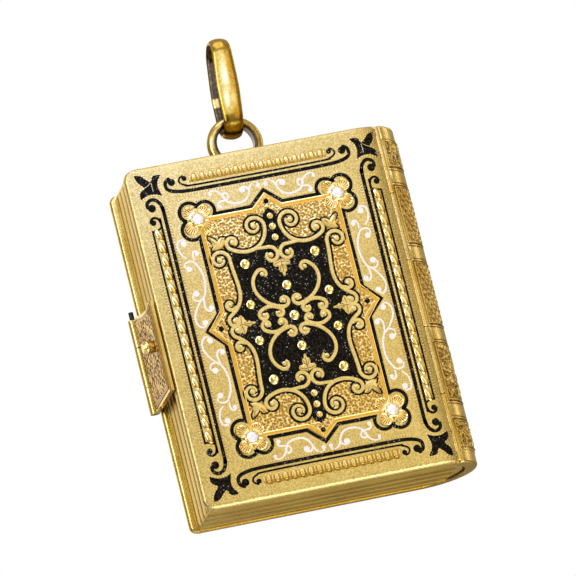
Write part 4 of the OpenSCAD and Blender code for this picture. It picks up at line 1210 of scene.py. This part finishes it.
# band of lens section round a long oval: two half turns and two straights, leaning in the x-z plane
def bailBand():
    mid = bail["inside"] + bail["thick"] / 2
    straight = bail["length"] - 2 * bail["inside"]
    turn = np.radians(np.linspace(0, 180, 40))
    down = np.linspace(0, -straight, 40)[1:-1]
    y = np.concatenate([mid * np.cos(turn), np.full(38, -mid), -mid * np.cos(turn), np.full(38, mid)])
    z = np.concatenate([mid * np.sin(turn), down, -straight - mid * np.sin(turn), down[::-1]]) - bail["inside"]
    ny = np.concatenate([np.cos(turn), np.full(38, -1), -np.cos(turn), np.full(38, 1)])
    nz = np.concatenate([np.sin(turn), 0 * down, -np.sin(turn), 0 * down])
    around = np.linspace(0, 2 * np.pi, 40, endpoint=False)
    swell = 1 + bail["swell"] * np.exp(-((z + bail["inside"] + straight * 0.55) / (straight * 0.5)) ** 2)
    run = np.arange(len(y)) / len(y)
    pinch = (1 - 0.1 * np.exp(-((run - bail["seam"]) / bail["seamWidth"]) ** 2))[:, None]
    out = (bail["thick"] / 2 * np.sign(np.sin(around)) * np.abs(np.sin(around)) ** bail["lens"])[None] * pinch
    xx = bail["wide"] / 2 * np.cos(around)[None] * swell[:, None] * pinch
    yy, zz = y[:, None] + ny[:, None] * out, z[:, None] + nz[:, None] * out
    lean = math.radians(bail["lean"])
    x, z = xx * math.cos(lean) + zz * math.sin(lean), zz * math.cos(lean) - xx * math.sin(lean)
    # painted light: pale painted highlight spots on the outer face, painted shade on the inner face, darker towards the
    # foot, and a pale sleeve
    litOutside = np.clip(1.1 + 2.5 * np.sin(around), 0, 1)[None]
    down, side = -zz / bail["length"], np.cos(around)[None]
    crown = sum(np.exp(-((down - at) / long) ** 2 - ((side - beside) / wide) ** 2)
                for at, long, beside, wide in bail["paintedHighlight"])
    foot = np.clip((down - 0.82) / 0.1, 0, 1)
    sleeveAt, sleeveHalf = bail["sleeve"]
    sleeve = (np.abs(down - sleeveAt) < sleeveHalf) & (y > 0)[:, None]
    paintedLight = np.maximum(litOutside * (0.62 + 0.38 * np.clip(crown, 0, 1) - 0.22 * foot), 0.7 * sleeve)
    made = part(np.stack([x - middleX, yy, z - middleZ], -1), gridFaces(*x.shape, wrapRows=True), paintedLight)
    return addPiece("bailBand", [made], paintedLightGold, "bail", ["bail"], sharp=0)


neckWire = {"radius": 0.7, "flatInside": -0.35, "paintedLight": 0.62, "paintedHighlight": 0.3}


# round wire turned into a ring whose foot is sunk in the top of the case
def neckLoop():
    x, z, low, high = middleOf("loop")
    wire = neckWire["radius"]
    ring = (high.x - low.x) / 2 / mm - wire
    z = high.z / mm - wire - ring - middleZ
    a = np.linspace(0, 2 * np.pi, 72, endpoint=False)[:, None]
    b = np.linspace(0, 2 * np.pi, 28, endpoint=False)[None]
    reach = ring + wire * np.clip(np.cos(b), neckWire["flatInside"], 1)
    # painted shade on the inner side of the wire, and a painted highlight band along each flank
    paintedLight = np.clip((np.cos(b) - 0.05) * 4, 0, neckWire["paintedLight"]) + 0 * a
    paintedLight = paintedLight + neckWire["paintedHighlight"] * np.exp(-((np.cos(b) - 0.6) / 0.2) ** 2)
    points = np.stack(np.broadcast_arrays(x + reach * np.cos(a), wire * np.sin(b), z + reach * np.sin(a)), -1)
    made = part(points, gridFaces(72, 28, wrapRows=True), paintedLight)
    return addPiece("neckLoop", [made], paintedLightGold, "case", ["loop"], sharp=0)


bailBand()
neckLoop()

# the clasp's outer side: an engraved sheet from low to high along y, its head cut to a curve, and a domed button
# turned about the line that points out of the fore-edge
claspSheet = {
    "x": case["foreX"] - 0.15 - 0.45, "low": -4.8, "high": 3.3, "foot": -5.1, "margin": 0.25, "rise": 0.1,
    "headAt": (-5, -3, -1.2, 0.9, 1.8, 3.3), "head": (4.25, 3.9, 4.05, 4.4, 4.65, 4.8),
    "border": 0.36, "cutAt": 0.2, "cutWidth": 0.08, "buttonRoom": 0.95,
    "buttonY": -2.8, "buttonZ": 0.1, "buttonRadii": (0, 0.6, 0.62, 0.66, 0.7, 0.71, 0.66, 0.52, 0.3, 0),
    "buttonReach": (0, 0, 0.3, 0.5, 0.66, 0.8, 0.97, 1.09, 1.17, 1.2),
}


# point y, z of the clasp's outer side, at a height h off it
def onClasp(y, z, h):
    return np.stack(np.broadcast_arrays(claspSheet["x"] - h, y, z), -1)


def claspEngraving():
    low, high, margin = claspSheet["low"], claspSheet["high"], claspSheet["margin"]
    y, t = np.meshgrid(np.linspace(low, high, 96), np.linspace(0, 1, 110))
    foot, head = claspSheet["foot"] + margin, np.interp(y, claspSheet["headAt"], claspSheet["head"]) - margin
    z = foot + (head - foot) * t
    away = np.minimum(np.minimum(y - low, high - y), np.minimum(z - foot, head - z))
    relief = bordered(curlRelief(y + 7, z), away, claspSheet)
    nearButton = np.hypot(y - claspSheet["buttonY"], z - claspSheet["buttonZ"]) < claspSheet["buttonRoom"]
    made = slab(onClasp, y, z, 0.01 + claspSheet["rise"] * np.where(nearButton, 0.5, relief), -0.02, 0.8)
    return addPiece("claspEngraving", [made], claspGold, "clasp", sharp=0, closed=False)


def claspKnob():
    radii = claspSheet["buttonRadii"]
    made = turned(claspSheet["buttonY"], claspSheet["buttonZ"], radii, claspSheet["buttonReach"], 32,
                  relief=np.ones(len(radii)), surface=onClasp)
    return addPiece("claspButton", [made], paintedHighlightGold, "clasp", sharp=0)


claspEngraving()
claspKnob()

# hours, minute track and ticks on the dial
dialLook = {"x": middleOf("dial")[0], "y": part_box("dial")[0].y / mm, "track": 9.3, "trackWidth": 0.45, "hours": 7.9,
            "fine": 0.06, "bold": 0.17, "tick": 0.18}
strokes = {"I": (((0, -0.8), (0, 0.8)),), "V": (((-0.4, 0.8), (0, -0.8)), ((0, -0.8), (0.4, 0.8))),
           "X": (((-0.42, -0.8), (0.42, 0.8)), ((-0.42, 0.8), (0.42, -0.8)))}
advance = {"I": 0.5, "V": 0.95, "X": 1.0}


# a painted stroke on the dial
def dialStroke(path, width, closed=False):
    spot = lambda x, z, h: np.stack([x, dialLook["y"] - h, z], -1)
    return ribbon(path, width, 0.02, "flat", base=-0.01, closed=closed, surface=spot)


def dialMarks():
    middle = np.array([dialLook["x"], 0])
    a = np.linspace(0, 2 * np.pi, 120, endpoint=False)
    circle = np.stack([np.cos(a), np.sin(a)], 1)
    made = [dialStroke(middle + circle * r, dialLook["fine"], True)
            for r in (dialLook["track"], dialLook["track"] + dialLook["trackWidth"])]
    for minute in range(60):
        turn = math.radians(90 - minute * 6)
        out = np.array([math.cos(turn), math.sin(turn)])
        ends = [middle + out * r for r in (dialLook["track"] + 0.05, dialLook["track"] + 0.4)]
        made.append(dialStroke(ends, dialLook["tick" if minute % 5 == 0 else "fine"]))
    for hour, word in enumerate(("XII", "I", "II", "III", "IIII", "V", "VI", "VII", "VIII", "IX", "X", "XI")):
        turn = math.radians(90 - hour * 30)
        out, side = np.array([math.cos(turn), math.sin(turn)]), np.array([math.sin(turn), -math.cos(turn)])
        left = -sum(advance[letter] for letter in word) / 2
        for letter in word:
            foot = left + advance[letter] / 2
            for line in strokes[letter]:
                ends = [middle + out * (dialLook["hours"] + q) + side * (foot + p) for p, q in line]
                made.append(dialStroke(ends, dialLook["bold"]))
            left += advance[letter]
    return addPiece("dialMarks", made, blackEnamel, "case")


dialMarks()

# finishes of the pieces that stay as they were packed
kept = {"page_block": mattedGold, "hinge_pin": polishedGold, "clasp": paintedHighlightGold, "clasp_pin": darkSteel,
        "bezel": polishedGold, "crystal": watchGlass, "dial": dialEnamel, "arbor": polishedGold,
        "hour_hand": bluedSteel, "minute_hand": bluedSteel}
for node, material in kept.items():
    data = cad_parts[node].data
    data.materials.clear()
    data.materials.append(material)
print("bail, clasp and dial made")

# camera and studio

shot = {
    "place": (-0.18018, -0.76243, -0.21403), "lens": 500.5,
    "right": (0.9568, -0.1692, -0.2364), "up": (0.1842, -0.2763, 0.9432), "forward": (0.2249, 0.9461, 0.2332),
}
cameraData = bpy.data.cameras.new("photoCamera")
cameraData.lens = shot["lens"]
cameraData.sensor_width = 36
cameraData.clip_start = 0.05
camera = bpy.data.objects.new("photoCamera", cameraData)
bpy.context.scene.collection.objects.link(camera)
axes = Matrix((shot["right"], shot["up"], [-c for c in shot["forward"]])).transposed()
camera.matrix_world = Matrix.Translation(shot["place"]) @ axes.to_4x4()
bpy.context.scene.camera = camera

floorLook = {"level": -0.3, "radius": 0.55, "colour": "#F4F2EE"}


def studioFloor():
    r = np.array([0, floorLook["radius"] * 0.5, floorLook["radius"]])
    a = np.linspace(0, 2 * np.pi, 64, endpoint=False)
    x, y = r[:, None] * np.cos(a), r[:, None] * np.sin(a)
    points = np.stack([x, y, 0 * x + floorLook["level"]], -1).reshape(-1, 3)
    mesh = bpy.data.meshes.new("studioFloor")
    mesh.from_pydata(points.tolist(), [], gridFaces(3, 64)[:, ::-1].tolist())
    material, tree, shader, place = newMaterial("palePaper")
    pale = toLinear(floorLook["colour"])
    # evenly pale to the camera; the watch is lit by what the paper really gives back
    seen = addNode(tree, "LightPath")
    glow = addNode(tree, "Emission", {"Color": pale})
    pick = addNode(tree, "MixShader", {}, {0: seen.outputs["Is Camera Ray"], 1: shader.outputs[0], 2: glow.outputs[0]})
    tune(tree, shader, {"Base Color": pale, "Roughness": 0.9}, {})
    tune(tree, tree.nodes["Material Output"], {}, {"Surface": pick.outputs[0]})
    material.cycles.emission_sampling = "NONE"
    mesh.materials.append(material)
    floor = bpy.data.objects.new("studioFloor", mesh)
    bpy.context.scene.collection.objects.link(floor)


studioFloor()

# softboxes: middle in metres from the watch's middle, width, height, radiance and colour; each faces the watch
target = Vector((0, 0, -0.03))
lights = {
    "faceLight": {"at": (0.035, -0.14, 0.036), "size": (0.2, 0.2), "radiance": 0.435, "colour": "#FFF6CC"},
    "topGlow": {"at": (-0.01, -0.05, 0.045), "size": (0.06, 0.035), "radiance": 2.6, "colour": "#9DB4FF"},
    "frontFill": {"at": (0.2, -0.32, 0.02), "size": (0.2, 0.3), "radiance": 0.5, "colour": "#FFE9B8"},
    "lowPanel": {"at": (0.05, -0.13, -0.22), "size": (0.26, 0.2), "radiance": 2.2, "colour": "#FFFFFF"},
    "leftStrip": {"at": (-0.33, -0.24, 0.1), "size": (0.16, 0.4), "radiance": 3.2, "colour": "#FFFFFF"},
    "topPanel": {"at": (0.02, -0.1, 0.4), "size": (0.3, 0.3), "radiance": 1.3, "colour": "#FFFFFF"},
    "rightStrip": {"at": (0.45, 0.1, 0.12), "size": (0.06, 0.35), "radiance": 2.4, "colour": "#FFF1D6"},
    "backPanel": {"at": (-0.1, 0.5, 0.1), "size": (0.45, 0.46), "radiance": 0.9, "colour": "#FFF6E6"},
}
for name, look in lights.items():
    lamp = bpy.data.lights.new(name, "AREA")
    lamp.shape = "RECTANGLE"
    lamp.size, lamp.size_y = look["size"]
    lamp.energy = look["radiance"] * math.pi * lamp.size * lamp.size_y
    lamp.color = toLinear(look["colour"])[:3]
    holder = bpy.data.objects.new(name, lamp)
    bpy.context.scene.collection.objects.link(holder)
    place = Vector(look["at"])
    turnTo = place.to_track_quat("Z", "Y").to_matrix().to_4x4()
    holder.matrix_world = Matrix.Translation(target + place) @ turnTo
    holder.visible_camera = False

# the room: pale above and brown below, so that undersides of the gold fall into warm shade; white to the camera
room = {"below": "#54401F", "above": "#D9C8A6", "belowTo": 0.25, "aboveFrom": 0.8, "strength": 0.8}
world = bpy.data.worlds.new("paleStudio")
bpy.context.scene.world = world
world.use_nodes = True
sky = world.node_tree
sky.nodes.clear()
seen = addNode(sky, "LightPath")
way = addNode(sky, "TexCoord")
split = addNode(sky, "SeparateXYZ", {}, {0: way.outputs["Generated"]})
level = addNode(sky, "MapRange", {"From Min": -1.0, "From Max": 1.0}, {"Value": split.outputs[2]})
tones = addNode(sky, "ValToRGB", {"ramp": ((room["belowTo"], room["below"]), (room["aboveFrom"], room["above"]))},
                {0: level.outputs[0]})
around = addNode(sky, "Background", {"Strength": room["strength"]}, {"Color": tones.outputs[0]})
white = addNode(sky, "Background", {"Color": (1, 1, 1, 1), "Strength": 1.0})
pick = addNode(sky, "MixShader", {}, {0: seen.outputs["Is Camera Ray"], 1: around.outputs[0], 2: white.outputs[0]})
addNode(sky, "OutputWorld", {}, {"Surface": pick.outputs[0]})
bpy.context.scene.view_settings.view_transform = "Standard"
print("studio made")
